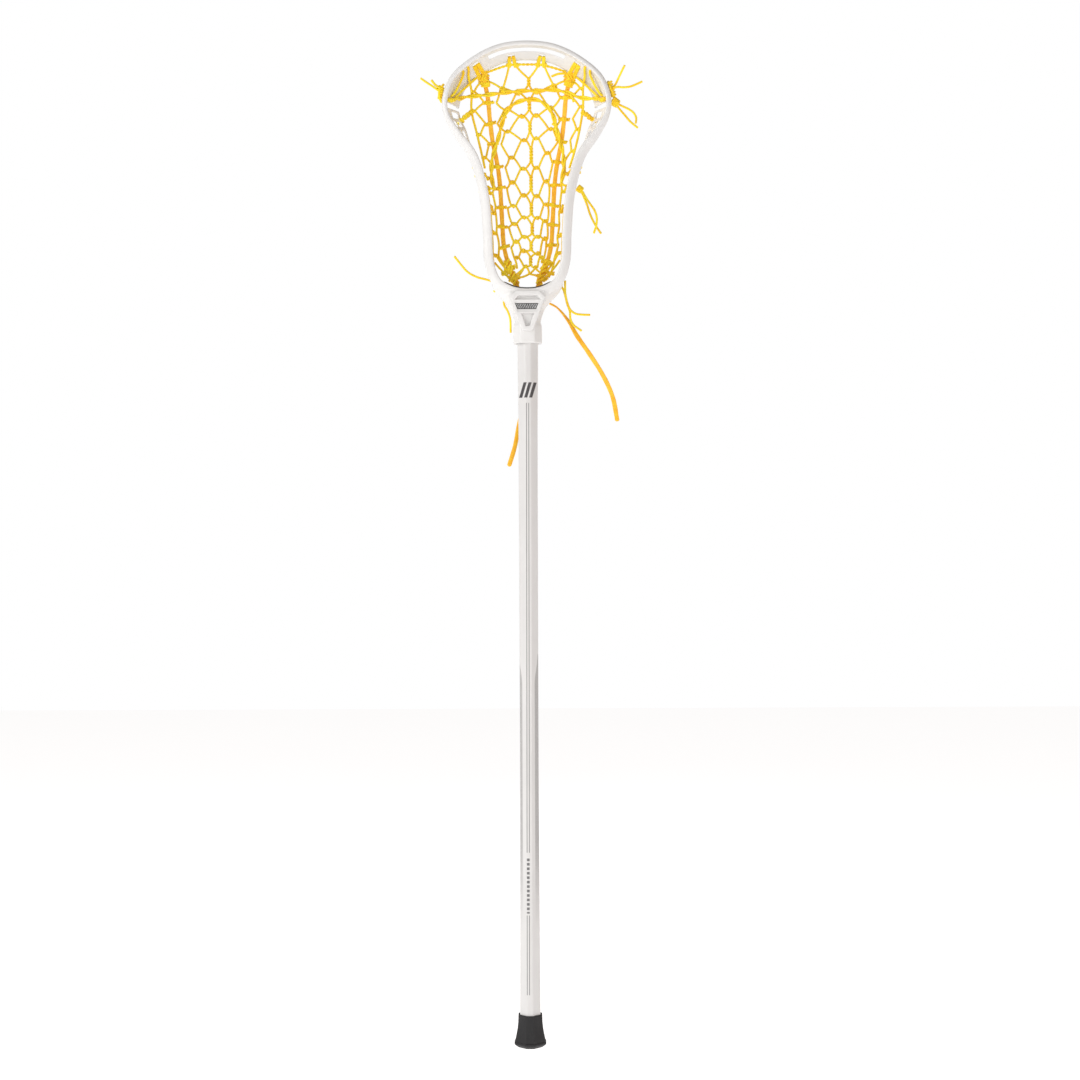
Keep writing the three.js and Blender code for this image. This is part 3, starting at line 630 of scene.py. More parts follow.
# ---------------------------------------------------------------- camera, lights and floor
CAMERA_HEIGHT, CAMERA_RIGHT, CAMERA_DISTANCE = 0.5492, 0.0125, 2.3
VIEW_WIDTH = 1.1716          # what the picture spans at the stick, in metres
CAMERA_ROLL = 0.227         # degrees


def make_camera():
    data = bpy.data.cameras.new("camera")
    data.sensor_width = 36.0
    data.lens = 36.0 * CAMERA_DISTANCE / VIEW_WIDTH
    data.clip_end = 30.0
    camera = bpy.data.objects.new("camera", data)
    camera.location = (CAMERA_RIGHT, -CAMERA_DISTANCE, CAMERA_HEIGHT)
    camera.rotation_euler = (math.radians(90), math.radians(CAMERA_ROLL), 0)
    bpy.context.scene.collection.objects.link(camera)
    bpy.context.scene.camera = camera


def area_light(name, location, target, size, power, colour):
    data = bpy.data.lights.new(name, "AREA")
    data.shape, data.size, data.energy, data.color = "SQUARE", size, power, colour
    lamp = bpy.data.objects.new(name, data)
    lamp.location = location
    lamp.rotation_euler = (Vector(target) - Vector(location)).to_track_quat("-Z", "Y").to_euler()
    bpy.context.scene.collection.objects.link(lamp)


def make_lights():
    middle = (0, 0, 0.6)
    area_light("key_left", (-2.45, -1.3, 1.9), middle, 1.3, 40.0, (1.0, 0.995, 0.985))
    area_light("front_soft", (-1.1, -2.4, 1.2), middle, 1.6, 8.0, (1.0, 1.0, 1.0))
    area_light("front_low", (0.9, -2.3, 0.6), (0, 0, 0.75), 1.0, 7.0, (1.0, 0.99, 0.98))
    area_light("warm_right", (1.9, -0.9, 0.9), middle, 1.3, 4.6, (1.0, 0.82, 0.75))
    area_light("back_left", (-1.4, 2.0, 1.5), middle, 1.5, 7.5, (1.0, 0.98, 0.96))
    area_light("back_right", (1.6, 1.7, 1.3), middle, 1.5, 5.0, (1.0, 0.95, 0.92))
    world = bpy.data.worlds.new("studio")
    bpy.context.scene.world = world
    world.use_nodes = True
    tree = world.node_tree
    tree.nodes.clear()
    path = tree.nodes.new("ShaderNodeLightPath")
    ambient = tree.nodes.new("ShaderNodeBackground")
    ambient.inputs["Color"].default_value = (1.0, 0.962, 0.942, 1)
    ambient.inputs["Strength"].default_value = 0.37
    seen = tree.nodes.new("ShaderNodeBackground")
    seen.inputs["Color"].default_value = (1, 1, 1, 1)
    seen.inputs["Strength"].default_value = 1.0
    choose = tree.nodes.new("ShaderNodeMixShader")
    out = tree.nodes.new("ShaderNodeOutputWorld")
    tree.links.new(path.outputs["Is Camera Ray"], choose.inputs[0])
    tree.links.new(ambient.outputs[0], choose.inputs[1])
    tree.links.new(seen.outputs[0], choose.inputs[2])
    tree.links.new(choose.outputs[0], out.inputs[0])


def make_floor():
    """A pale floor, below the cap even when the cap is pulled off."""
    n = Nodes("pale_floor")
    tone = n.noise(0.8, 2.0)
    n.finish(Base_Color=n.blend(tone, (0.93, 0.93, 0.935, 1), (0.95, 0.95, 0.95, 1)), Roughness=0.9,
             Emission_Color=(1, 1, 1, 1), Emission_Strength=0.62)
    mesh = bpy.data.meshes.new("floor")
    half, height = 6.0, -0.11
    corners = [(x * half, y * half, height) for x, y in ((-1, -1), (1, -1), (1, 1), (-1, 1))]
    mesh.from_pydata(corners, [], [(0, 1, 2, 3)])
    mesh.materials.append(n.material)
    floor = bpy.data.objects.new("floor", mesh)
    bpy.context.scene.collection.objects.link(floor)


bpy.context.scene.view_settings.view_transform = "Standard"
make_camera()
make_lights()
make_floor()

# ---------------------------------------------------------------- loose ends
# Routes of the loose string ends and leather tails, the same as their CAD solids'.
STRING_TAILS = {
    "tail_upper_left": [
        (-97.4, -3.5, 1037.9), (-100.8, -5, 1039.9), (-104.6, -7.5, 1042), (-109.4, -12, 1044.4),
        (-113.6, -18, 1046.4),
    ],
    "tail_upper_right_rising": [
        (95.9, -3, 1042), (98.1, -4, 1046.1), (100.6, -6, 1051.2), (103.1, -9, 1056), (105.8, -13.5, 1060.5),
    ],
    "tail_upper_right_level": [
        (94.4, -6.5, 1038), (98.7, -7.5, 1038.8), (103.7, -8, 1038.2), (111.6, -8.6, 1038.8),
        (118.6, -9, 1041.3), (124.7, -9, 1044.1),
    ],
    "tail_upper_right_outer": [
        (101.8, -3.5, 1019.6), (104.8, -4.5, 1017.9), (108.7, -6, 1015.8), (114.8, -8, 1011.3),
        (118, -10, 1005.4), (117.6, -13, 998.4),
    ],
    "tail_upper_right_inner": [
        (99.3, -1.5, 1017.7), (102, -0.5, 1014.5), (105.9, 0, 1010.2), (111.9, 0, 1003), (116, 0, 999.4),
        (120.2, 0, 996),
    ],
    "tail_right_rail_outer": [
        (60.6, 1, 926.4), (64, 0, 920), (68, -0.5, 913.9), (72.8, -1, 906.8), (75.4, -1.5, 898.8),
        (74.8, -2, 889.7), (72.2, -2.5, 881.6),
    ],
    "tail_right_rail_inner": [
        (59.7, 3.6, 926), (62.1, 4, 920.6), (65.1, 4, 913.2), (68.1, 3.5, 903.5), (71.1, 2.5, 896.4),
        (75.6, 2, 888.3), (80.1, 2, 881.8),
    ],
    "tail_lower_left_rising": [
        (-38.6, 8, 831.2), (-45.2, 7, 832.9), (-55.7, 6, 835.7), (-65.1, 5, 840.9), (-71.2, 5, 847.6),
        (-79.2, 5, 857.7),
    ],
    "tail_lower_left_hanging": [
        (-24.4, 22.8, 818.6), (-25.9, 21, 812.3), (-25.4, 17.2, 805.7), (-21.9, 11, 799.2), (-19.1, 9, 790.4),
        (-18.5, 8, 775.3),
    ],
    "tail_lower_right_level": [
        (40.9, 8, 831), (40.9, 6, 825.7), (41, 4, 817.5), (43, 3, 807.3), (46.6, 3, 798.9), (52.1, 3, 794.9),
        (59.1, 3, 793.8), (67.6, 3, 793.5),
    ],
    "tail_lower_right_falling": [
        (36.6, 20, 827.3), (39.4, 15.5, 821.8), (41, 9.5, 815.1), (42.9, 6.6, 806.7), (45.9, 6.4, 797.7),
        (46.7, 6.2, 789.1), (49.7, 6, 783.2), (58.4, 6, 776.6),
    ],
}
LEATHER_TAILS = {
    "leather_tail_right": [
        (11.5, 22.8, 818.6), (15, 21.3, 813.4), (22.8, 19.6, 808.5), (32.1, 17, 803.1), (43.6, 14, 789.3),
        (53.7, 11, 771.6), (67.1, 8, 751.6), (81.3, 5, 728.6), (91.8, 2, 704.8), (96.8, 0, 679),
    ],
    "leather_tail_left": [
        (-11.2, 22.8, 818.6), (-9.7, 20.6, 807.3), (-7.2, 19.4, 794),
        (-4.1, 18.9, 776.9), (-1.6, 18.2, 756.6),
        (-1.1, 17, 736.4), (-2.6, 16, 713.1), (-6.1, 15, 692.9), (-10.3, 13, 672.7),
        (-14.7, 11, 650.5), (-20.6, 9, 630.8),
    ],
}
TAIL = 2.4                  # loose string ends


def leather_section(count, width=LEATHER_WIDTH, thickness=LEATHER_THICKNESS, seed=0.0):
    """A thong's cross-section along its length, a little uneven as cut leather is."""
    base = rounded_box(width, thickness, 0.75)
    t = np.arange(count)[:, None]
    wide = 1 + 0.035 * np.sin(t * 0.31 + seed) + 0.02 * np.sin(t * 0.83 + 2 * seed)
    thick = 1 + 0.05 * np.sin(t * 0.23 + 1 + seed)
    return base[None] * np.stack([wide, thick], axis=2)


def turned_over(section, turn):
    """The cross-sections turned by an angle that changes along the thong."""
    cos, sin = np.cos(turn)[:, None], np.sin(turn)[:, None]
    x, y = section[..., 0], section[..., 1]
    return np.stack([x * cos - y * sin, x * sin + y * cos], axis=2)


def make_loose_ends():
    for node, route in STRING_TAILS.items():
        line = spline(route, 1.0)
        shell = Shell()
        sweep(shell, line, circle(TAIL, 10))
        piece = strung(shell, node.replace("tail", "string_end"), node)
    for seed, (node, route) in enumerate(LEATHER_TAILS.items()):
        line = spline(route, 1.5)
        shell = Shell()
        t = np.linspace(0, 1, len(line))
        turn = math.radians(78) * (1 - ramp(t, 0.12, 0.42)) + 0.35 * np.sin(t * 7 + seed)
        sweep(shell, line, turned_over(leather_section(len(line), seed=seed + 1.0), turn), flat=True)
        piece = settle(shell.build(node.replace("leather_tail", "thong_end"), LEATHER), "stick",
                       "amber_leather", node)


make_loose_ends()

# ---------------------------------------------------------------- the moulded head
SIDE_WINDOWS = [
    (850, 873, (1, 2, 3)), (880, 905, (1, 2, 3)), (912, 938, (1, 2, 3)), (946, 971, (1, 2, 3)),
    (978.5, 990, (1, 3)), (994, 1001.5, (1, 3)), (1006, 1014.2, (2, 3)),
]                                   # bottom, top and the open cells of the wall between them
NOTCH = (1018, 1024.2)
SCOOP_SLIT_HALF, SCOOP_SLOTS, SCOOP_SLOT_HALF = 0.062, (0.025, 0.0843), 0.0056
SIDE_ROWS, SCOOP_ROWS = (0.14, 0.43, 0.6, 0.87), (0.187, 0.43, 0.626, 0.894)
INNER_FIRST, OUTER_LAST = 6, 23     # places of the wall's front edges in a section


def folded(place):
    """The same place on the right half of the head."""
    place = place % 1
    return place if place <= 0.5 else 1 - place


def ring_section(place):
    """The moulding's cross-section: the front rim, the inner wall, the back rail and the outer wall."""
    z = outline_at(place)[0][1]
    front, back, rim, inset = front_depth(z), back_depth(z), rim_width(z), back_inset(z)
    chamfer, slope = mix(5.6, 2.6, toward_scoop(z)), mix(4.0, 2.2, toward_scoop(z))
    wall, thick, rail = rim / 2 - 1, wall_thickness(z), inset + rail_width(z)
    near, far = wall_span(z)
    toward = ramp(folded(place), place_at_height(NOTCH[1] + 2), 0.5 - SCOOP_SLOTS[1] - 0.012)
    rows = [mix(a, b, toward) for a, b in zip(SIDE_ROWS, SCOOP_ROWS)]
    # Where the wall slants, its openings go straight from front to back.
    inner_reach, outer_reach = rail - 1 - wall - thick, inset + 1 - wall
    slanted = ramp(outer_reach, 2, 8)
    straight = [min(0.985, (thick + f * inner_reach) / max(outer_reach, 1)) for f in rows]
    outer_rows = [mix(a, b, slanted) for a, b in zip(rows, straight)]
    inner = [(mix(wall + thick, rail - 1, f), mix(near, far, f)) for f in (0, *rows, 1)]
    outer = [(mix(wall, inset + 1, f), mix(near, far, f)) for f in (1, *reversed(outer_rows), 0)]
    points = [
        (0, front + RIM_DEPTH + 0.6), (-0.1, front + slope), (chamfer, front), (rim - 0.9, front),
        (rim, front + 1.0), (rim, front + RIM_DEPTH),
        *inner,
        (rail, back - 5), (rail, back - 1), (rail - 1, back), (inset + 1, back),
        (inset, back - 1), (inset, back - 5),
        *outer,
    ]
    return [head_point(place, inward, depth) for inward, depth in points]


def open_cells(place):
    """Which cells of the wall are cut away here; None where the whole wall and rail are."""
    here = folded(place)
    if place_at_height(NOTCH[0]) < here < place_at_height(NOTCH[1]):
        return None
    for bottom, top, cells in SIDE_WINDOWS:
        if place_at_height(bottom) < here < place_at_height(top):
            return set(cells)
    cells = set()
    if abs(here - 0.5) < SCOOP_SLIT_HALF:
        cells.add(1)
    for offset, cell in zip(SCOOP_SLOTS, (3, 1)):
        if abs(0.5 - here - offset) < SCOOP_SLOT_HALF:
            cells.add(cell)
    return cells


def ring_places():
    """Stations round the head, closer together beside each opening's ends."""
    ends = [0.0, 0.5]
    for bottom, top, _ in SIDE_WINDOWS:
        ends += [place_at_height(bottom), place_at_height(top)]
    ends += [place_at_height(z) for z in NOTCH]
    ends.append(0.5 - SCOOP_SLIT_HALF)
    for offset in SCOOP_SLOTS:
        ends += [0.5 - offset - SCOOP_SLOT_HALF, 0.5 - offset + SCOOP_SLOT_HALF]
    ends.sort()
    half = []
    for a, b in zip(ends[:-1], ends[1:]):
        gap = (b - a) * PERIMETER
        support = min(1.3, gap / 3) / PERIMETER
        half.append(a)
        if gap < 4:
            half.append((a + b) / 2)
            continue
        fill = max(1, int(math.ceil((gap - 2.6) / 6)))
        half += [mix(a + support, b - support, i / fill) for i in range(fill + 1)]
    return half + [0.5] + [1 - p for p in reversed(half[1:])]


def make_ring():
    places = ring_places()
    rows = [ring_section(place) for place in places]
    count, sides = len(places), len(rows[0])
    cells = [open_cells(mix(places[j], places[j + 1] if j + 1 < count else 1.0, 0.5)) for j in range(count)]
    faces = []
    at = lambda j, k: (j % count) * sides + k % sides
    inner = lambda i: INNER_FIRST + i
    outer = lambda i: OUTER_LAST - i
    for j in range(count):
        here = cells[j]
        for k in range(sides):
            wall = INNER_FIRST <= k < OUTER_LAST
            if here is None and wall:
                continue
            if here and (k - INNER_FIRST in here or OUTER_LAST - 1 - k in here):
                continue
            faces.append((at(j, k), at(j, k + 1), at(j + 1, k + 1), at(j + 1, k)))
        if here is None:
            faces.append((at(j, inner(0)), at(j + 1, inner(0)), at(j + 1, outer(0)), at(j, outer(0))))
        for i in here or ():
            if i - 1 not in here:
                faces.append((at(j, outer(i)), at(j + 1, outer(i)), at(j + 1, inner(i)), at(j, inner(i))))
            if i + 1 not in here:
                faces.append((at(j, outer(i + 1)), at(j, inner(i + 1)), at(j + 1, inner(i + 1)),
                              at(j + 1, outer(i + 1))))
            for station, other in ((j, j - 1), (j + 1, j + 1)):
                if i not in (cells[other % count] or ()):
                    faces.append((at(station, outer(i)), at(station, inner(i)), at(station, inner(i + 1)),
                                  at(station, outer(i + 1))))
        if (here is None) != (cells[j - 1] is None):
            for i in range(5):
                faces.append((at(j, outer(i)), at(j, inner(i)), at(j, inner(i + 1)), at(j, outer(i + 1))))
            for a in range(3):
                low, high = INNER_FIRST + 5 + a, OUTER_LAST - 5 - a
                faces.append((at(j, high), at(j, low), at(j, low + 1), at(j, high - 1)))
    mesh = bpy.data.meshes.new("ring")
    mesh.from_pydata((np.array(rows).reshape(-1, 3) * MM).tolist(), [], faces)
    return applied(finished(mesh, "head_moulding", None, level=2))


GUSSET_SIDE = [(784.5, 13.6), (792.5, 15.8), (800.5, 19.0), (807.5, 25.2), (816.5, 34.0), (828.5, 39.8)]
SOCKET_BOTTOM, SOCKET_TOP = HEAD_LOW[2] + 1.3, 783.5
SOCKET_HALF_WIDTH, SOCKET_HALF_DEPTH = 15.45, 16.2


def throat_ring(half_width, half_depth, side_depth, z_at, scale=1.0):
    """A section of the throat: flat in front and behind, sloping to its two sides."""
    shares = (-1, -0.95, -0.72, -0.53, -0.47, -0.2, 0, 0.2, 0.47, 0.53, 0.72, 0.95, 1)
    front = [(u * half_width, -mix(half_depth, side_depth, ramp(abs(u), 0.5, 1.0))) for u in shares]
    sides = [(half_width, -side_depth * 0.4), (half_width, side_depth * 0.4)]
    points = front + sides + [(x, -y) for x, y in reversed(front)] + [(-x, -y) for x, y in sides]
    return [(x * scale, y * scale, z_at(abs(x) / half_width)) for x, y in points]


def make_throat():
    rows = []
    level = lambda z: (lambda u: z)
    bore = (SOCKET_HALF_WIDTH - 3.85) / SOCKET_HALF_WIDTH
    for z in (805.8, 800, 780, SOCKET_BOTTOM + 2.5, SOCKET_BOTTOM + 0.9):
        rows.append(throat_ring(SOCKET_HALF_WIDTH, SOCKET_HALF_DEPTH, 7, level(z), bore))
    rows.append(throat_ring(SOCKET_HALF_WIDTH, SOCKET_HALF_DEPTH, 7, level(SOCKET_BOTTOM), bore * 1.03))
    for z, scale in ((SOCKET_BOTTOM, 0.95), (SOCKET_BOTTOM + 0.4, 0.99), (SOCKET_BOTTOM + 1.6, 1.0),
                     (770, 1.0), (778, 1.0), (SOCKET_TOP - 2.5, 0.99), (SOCKET_TOP - 0.7, 0.95)):
        rows.append(throat_ring(SOCKET_HALF_WIDTH, SOCKET_HALF_DEPTH, 7, level(z), scale))
    steps = 12
    for i in range(steps + 1):
        t = i / steps
        side_z, middle_z = mix(785, 828.5, t), mix(785, 815.7, t)
        half = profile(GUSSET_SIDE, side_z)
        depth = mix(15.6, 16.6, ramp(t, 0, 0.4))
        side = mix(6.8, 1.2, ramp(t, 0, 0.35)) + 5.2 * ramp(t, 0.75, 1)
        rows.append(throat_ring(half, depth, side, lambda u, a=middle_z, b=side_z: mix(a, b, u ** 2)))
    shell = Shell()
    shell.loft(rows)
    return applied(shell.build("throat", None, level=2))


def tapered_block(front_shape, back_shape, front, back):
    """A closed block between two flat outlines, one in front of the other."""
    shell = Shell()
    shell.loft([[(x, front, z) for x, z in front_shape], [(x, back, z) for x, z in back_shape]])
    return shell.build("block", None)


CUT_FROM = -21.2        # in front of the V frame, where the cuts into it start


def make_v_frame():
    """The raised V on the throat, with its upper recess, printed bar and lower recess."""
    outline = [(-12.3, 817.2), (-19.6, 810.4), (-5.2, 775), (5.2, 775), (19.6, 810.4), (12.3, 817.2)]
    block = tapered_block(outline, scaled(outline, 1.03), -20.3, -13.5)
    upper = [(-14.4, 807.8), (-10.2, 812.8), (10.2, 812.8), (14.4, 807.8)]
    upper_floor = [(-11.6, 808.2), (-8.8, 811.2), (9.6, 811.2), (12.8, 808.2)]
    lower = [(-7.2, 793), (7.2, 793), (2.5, 779.2), (-2.5, 779.2)]
    lower_floor = [(-3.2, 792.6), (5.2, 792.6), (1.6, 781.2), (0, 781.2)]
    bar = [(-14.3, 806.3), (14.3, 806.3), (11, 794.9), (-11, 794.9)]
    cuts = [
        tapered_block(scaled(upper, 1.02), upper_floor, CUT_FROM, -15.4),
        tapered_block(scaled(lower, 1.03), lower_floor, CUT_FROM, -11.5),
        tapered_block(bar, scaled(bar, 0.96), CUT_FROM, -19.5),
    ]
    block = combined(block, cuts, "DIFFERENCE")
    soft = block.modifiers.new("soft", "BEVEL")
    soft.width, soft.segments, soft.limit_method, soft.angle_limit = 0.35 * MM, 2, "ANGLE", math.radians(25)
    return applied(block)


def scaled(points, scale):
    middle = np.mean(points, axis=0)
    return [tuple(middle + (np.array(p) - middle) * scale) for p in points]


SCREW_HEIGHT = sum(box_mm("head_screw")[i][2] for i in (0, 1)) / 2


def turned_x(shape, name, material, z, sides=32):
    """A closed body turned round a line along X, from (distance along X, radius) pairs."""
    angle = np.arange(sides) * 2 * np.pi / sides
    shell = Shell()
    rings = [np.stack([np.full(sides, x), r * np.cos(angle), z + r * np.sin(angle)], axis=1)
             for x, r in shape]
    shell.loft(rings)
    return shell.build(name, material, sharp=40)


# Holes for the strings in the scoop's wall: how far from the tip along the outline, and share of the wall.
SELVAGE_HOLE, CORNER_HOLE, LOW_HOLE, LOWER_HOLE = (0.0971, 0.1), (0.1071, 0.1), (0.152, 0.3), (0.157, 0.45)
STRING_HOLES = (SELVAGE_HOLE, CORNER_HOLE, LOW_HOLE, LOWER_HOLE)


def place_in_scoop(side, offset):
    return 0.5 - side * offset


def hole_point(side, hole, lift=0.0):
    return wall_point(place_in_scoop(side, hole[0]), hole[1], lift)


def make_head():
    ring = make_ring()
    top = box_mm("head_screw")[1][0]
    hole = turned_x([(top - 6, 2.3), (top - 2.3, 2.3), (top - 2.1, 3.65), (top + 4, 3.65)], "hole", None,
                    SCREW_HEIGHT)
    string_holes = []
    for side in (-1, 1):
        for place, share in STRING_HOLES:
            place = place_in_scoop(side, place)
            outside, inside = wall_point(place, share, -8), wall_point(place, share, 8)
            pin = Shell()
            sweep(pin, [outside, inside], circle(2.7, 16), domed=False)
            string_holes.append(pin.build("pin", None))
    ring = combined(ring, string_holes, "DIFFERENCE")
    head = combined(ring, [make_throat(), make_v_frame()], "UNION")
    head = combined(head, [hole], "DIFFERENCE")
    head.data.shade_smooth()
    head.data.set_sharp_from_angle(angle=math.radians(38))
    head.data.materials.clear()
    head.data.materials.append(PLASTIC)
    settle(head, "stick", "head_plastic", "head")


make_head()


def make_foam_pad():
    """Closed-cell foam pad on the inside of the wall at the bottom of the opening."""
    rows = []
    for place in np.linspace(-0.047, 0.047, 25):
        z = outline_at(place)[0][1]
        near, far = front_depth(z) + 7.6, back_depth(z) - 7.6
        foot = LOWER_RIM_WIDTH / 2 - 1 + wall_thickness(z) + 0.55
        edge = math.sqrt(max(0.0, 1 - (abs(place) / 0.0475) ** 8))
        section = rounded_box(4.6 * max(edge, 0.25), far - near, 1.1, arc=4)
        rows.append([head_point(place, foot + 2.4 + a, (near + far) / 2 + b) for a, b in section])
    shell = Shell()
    shell.loft(rows, np.arange(len(rows)) * 2.0)
    pad = settle(shell.build("foam_pad", FOAM), "stick", "foam_pad", "ball_stop")


make_foam_pad()

# ---------------------------------------------------------------- shaft, end cap and screw
SHAFT_LOW, SHAFT_HIGH = box_mm("shaft")
CAP_HIGH = box_mm("end_cap")[1]
SHAFT_FLATS = (11.1, 12.5, 3.1, 4.7)      # half width, half depth, front flat, side flat
SHAFT_WALL = 1.4
SHAFT_WAIST = 0.905
SHAFT_TAPER = [(0, 1), (45, 1), (160, 0.945), (265, SHAFT_WAIST), (485, SHAFT_WAIST), (670, 0.93), (745, 1),
               (SHAFT_HIGH[2], 1)]


def soft_octagon(half_width, half_depth, front_flat, side_flat, radius, arc=4):
    """An octagon with rounded corners, as a closed row of (x, y) points."""
    corners = np.array([
        (front_flat, -half_depth), (half_width, -side_flat), (half_width, side_flat),
        (front_flat, half_depth), (-front_flat, half_depth), (-half_width, side_flat),
        (-half_width, -side_flat), (-front_flat, -half_depth),
    ])
    points = []
    for i, corner in enumerate(corners):
        to_last, to_next = unit(corners[i - 1] - corner), unit(corners[(i + 1) % 8] - corner)
        turn = math.acos(np.clip(to_last.dot(to_next), -1, 1))
        reach = radius / math.tan(turn / 2)
        middle = corner + unit(to_last + to_next) * radius / math.sin(turn / 2)
        a, b = corner + to_last * reach - middle, corner + to_next * reach - middle
        for j in range(arc + 1):
            blend = a * (1 - j / arc) + b * j / arc
            points.append(middle + unit(blend) * radius)
    return np.array(points)


def at_height(points, z):
    return [(x, y, z) for x, y in points]


def make_shaft():
    width, depth, front, side = SHAFT_FLATS

    def ring(z, shrink):
        k = profile(SHAFT_TAPER, z)
        less = shrink * 0.41
        return at_height(soft_octagon(width * k - shrink, depth * k - shrink, front * k - less,
                                      side * k - less, 2.9 - shrink), z)

    bottom, top = SHAFT_LOW[2], SHAFT_HIGH[2]
    heights = [bottom + 0.4, *np.arange(12, top - 4, 8.0), top - 0.4]
    rows = [ring(bottom, 0.35), *(ring(z, 0) for z in heights), ring(top, 0.35)]
    rows += [ring(z, SHAFT_WALL) for z in reversed([bottom, *heights[1:-1:6], top])]
    shell = Shell()
    shell.loft(rows, closed=True)
    shaft = shell.build("shaft_tube", LACQUER, sharp=50)
    hole = turned_x([(5, 2.2), (14, 2.2)], "hole", None, SCREW_HEIGHT)
    combined(shaft, [hole], "DIFFERENCE")
    shaft.data.shade_smooth()
    shaft.data.set_sharp_from_angle(angle=math.radians(40))
    settle(shaft, "stick", "shaft_lacquer", "shaft")


def make_end_cap():
    """Moulded rubber cap: eight soft flats, a rib round the flare and a worn foot."""
    height = CAP_HIGH[2]
    outer = [
        (0, 12.0), (0.3, 12.8), (1.0, 13.8), (2.6, 15.8), (3.4, 16.7), (4.0, 17.1), (4.6, 17.2), (5.6, 17.15),
        (6.1, 16.8), (6.5, 16.2), (7.1, 16.25), (9, 15.8), (13, 15.0), (19, 13.9), (26, 13.2),
        (height - 1.4, 12.9), (height - 0.4, 12.8), (height, 12.5),
    ]
    rows = []
    for z, half in outer:
        k = half / 12.9
        rows.append(at_height(soft_octagon(half, half + 1.3, 4.1 * k, 5.4 * k, 1.8), z))
    bore = soft_octagon(11.45, 12.85, 3.2, 4.8, 1.2)
    rows += [at_height(bore, z) for z in (height, height - 0.4, 20, 6, 5.0)]
    shell = Shell()
    shell.loft(rows)
    settle(shell.build("butt_cap", RUBBER, sharp=48), "cap", "cap_rubber", "end_cap")


def make_screw():
    """Pan-head screw with a cross recess."""
    low, high = box_mm("head_screw")
    top = high[0]
    shape = [(low[0], 0.9), (low[0] + 1.2, 1.75)]
    for x in np.arange(low[0] + 2, top - 2.7, 0.8):
        shape += [(x, 1.9), (x + 0.35, 1.6)]
    shape += [(top - 2.1, 1.85), (top - 1.95, 3.2), (top - 0.9, 3.3), (top - 0.35, 2.9), (top, 1.6)]
    screw = turned_x(shape, "cross_screw", STEEL, SCREW_HEIGHT, sides=28)
    for quarter in (0, 1):
        slot = Shell()
        wide, thin = (2.1, 0.5) if quarter else (0.5, 2.1)
        section = [(-thin, -wide), (thin, -wide), (thin, wide), (-thin, wide)]
        ends = ((top - 1.4, 0.6), (top + 1, 1))
        slot.loft([[(x, y * s, SCREW_HEIGHT + z * s) for y, z in section] for x, s in ends])
        combined(screw, [slot.build("slot", None)], "DIFFERENCE")
    screw.data.shade_smooth()
    screw.data.set_sharp_from_angle(angle=math.radians(35))
    settle(screw, "screw", "screw_steel", "head_screw")


make_shaft()
make_end_cap()
make_screw()

# ---------------------------------------------------------------- the strung pocket
# Knots of the net from top to bottom, as (x, height). The outer columns tie to the side walls.
LEFT_EDGE = [(-59.4, 1041.1), (-59.6, 1020.9), (-53.6, 995.1), (-47.8, 970), (-43.2, 947.3), (-40.6, 931.2),
             (-37.3, 909.3), (-36.2, 886.7), (-34.2, 861.3), (-27, 841.1)]
LEFT_WRAPS = [(-40.1, 1030), (-39.2, 1007.8), (-35.1, 986), (-30.7, 961), (-29, 937.7), (-28.2, 916.2),
              (-27, 894.6), (-24.6, 871.8), (-18.2, 847.8), (-13.4, 835.6)]
LEFT_OUTER = [(-26.4, 1044.9), (-22.3, 1022.9), (-21.8, 999.9), (-17.5, 971.7), (-16.6, 944.5),
              (-15.2, 918.5), (-14.4, 898.4), (-12.8, 878.6), (-12.3, 860.3)]
LEFT_INNER = [(-9.1, 1039.7), (-6, 1016.2), (-3.7, 990.8), (-4.6, 959.9), (-4, 930.5), (-3.3, 905.9),
              (-3.4, 884), (-4.6, 868.2), (-1.8, 850.2)]
RIGHT_INNER = [(10.6, 1040.8), (10, 1016.9), (9.9, 992.7), (10.3, 960.8), (10.2, 929.4), (11.1, 905.2),
               (11.6, 883.9), (11.6, 864.9), (8.6, 849.1)]
RIGHT_OUTER = [(29.5, 1047.7), (25.8, 1024.7), (26.4, 1002.3), (22.7, 976.5), (21.1, 945.3), (20.6, 919.8),
               (19.7, 901.3), (19.6, 881.5), (15.8, 860.2)]
RIGHT_WRAPS = [(43.1, 1035), (43.6, 1012.1), (40.9, 988.8), (34.9, 965.9), (30.9, 940.6), (29.4, 918.2),
               (28.6, 896.6), (27.5, 873.7), (22.4, 854), (16.9, 837.2)]
RIGHT_EDGE = [(60.4, 1044), (60.4, 1024.8), (56.7, 1000.6), (51.1, 976.9), (44.1, 951.8), (40.2, 932.7),
              (37.4, 910.8), (35.6, 883.6), (33.8, 863.9), (27.7, 841.1)]
CENTRE_TWISTS = [(2.1, 1055.4, 1048.8), (2.7, 1030.7, 1023), (3.2, 1008.5, 1000.7), (4.5, 980.9, 967.9),
                 (4.2, 949.8, 937.1), (4.4, 919.3, 910), (5.3, 897, 887.7), (4.1, 876.7, 869.3),
                 (3.5, 860.8, 852.3)]
SIDES = {-1: "left", 1: "right"}
EDGES, WRAPS = {-1: LEFT_EDGE, 1: RIGHT_EDGE}, {-1: LEFT_WRAPS, 1: RIGHT_WRAPS}
RAIL_KNOTS_FROM = 4                  # the first knot of an edge column that is tied round the back rail
KNOT_REACH = 2.5                     # half the width of a knot
WRAP_REACH = 6.6


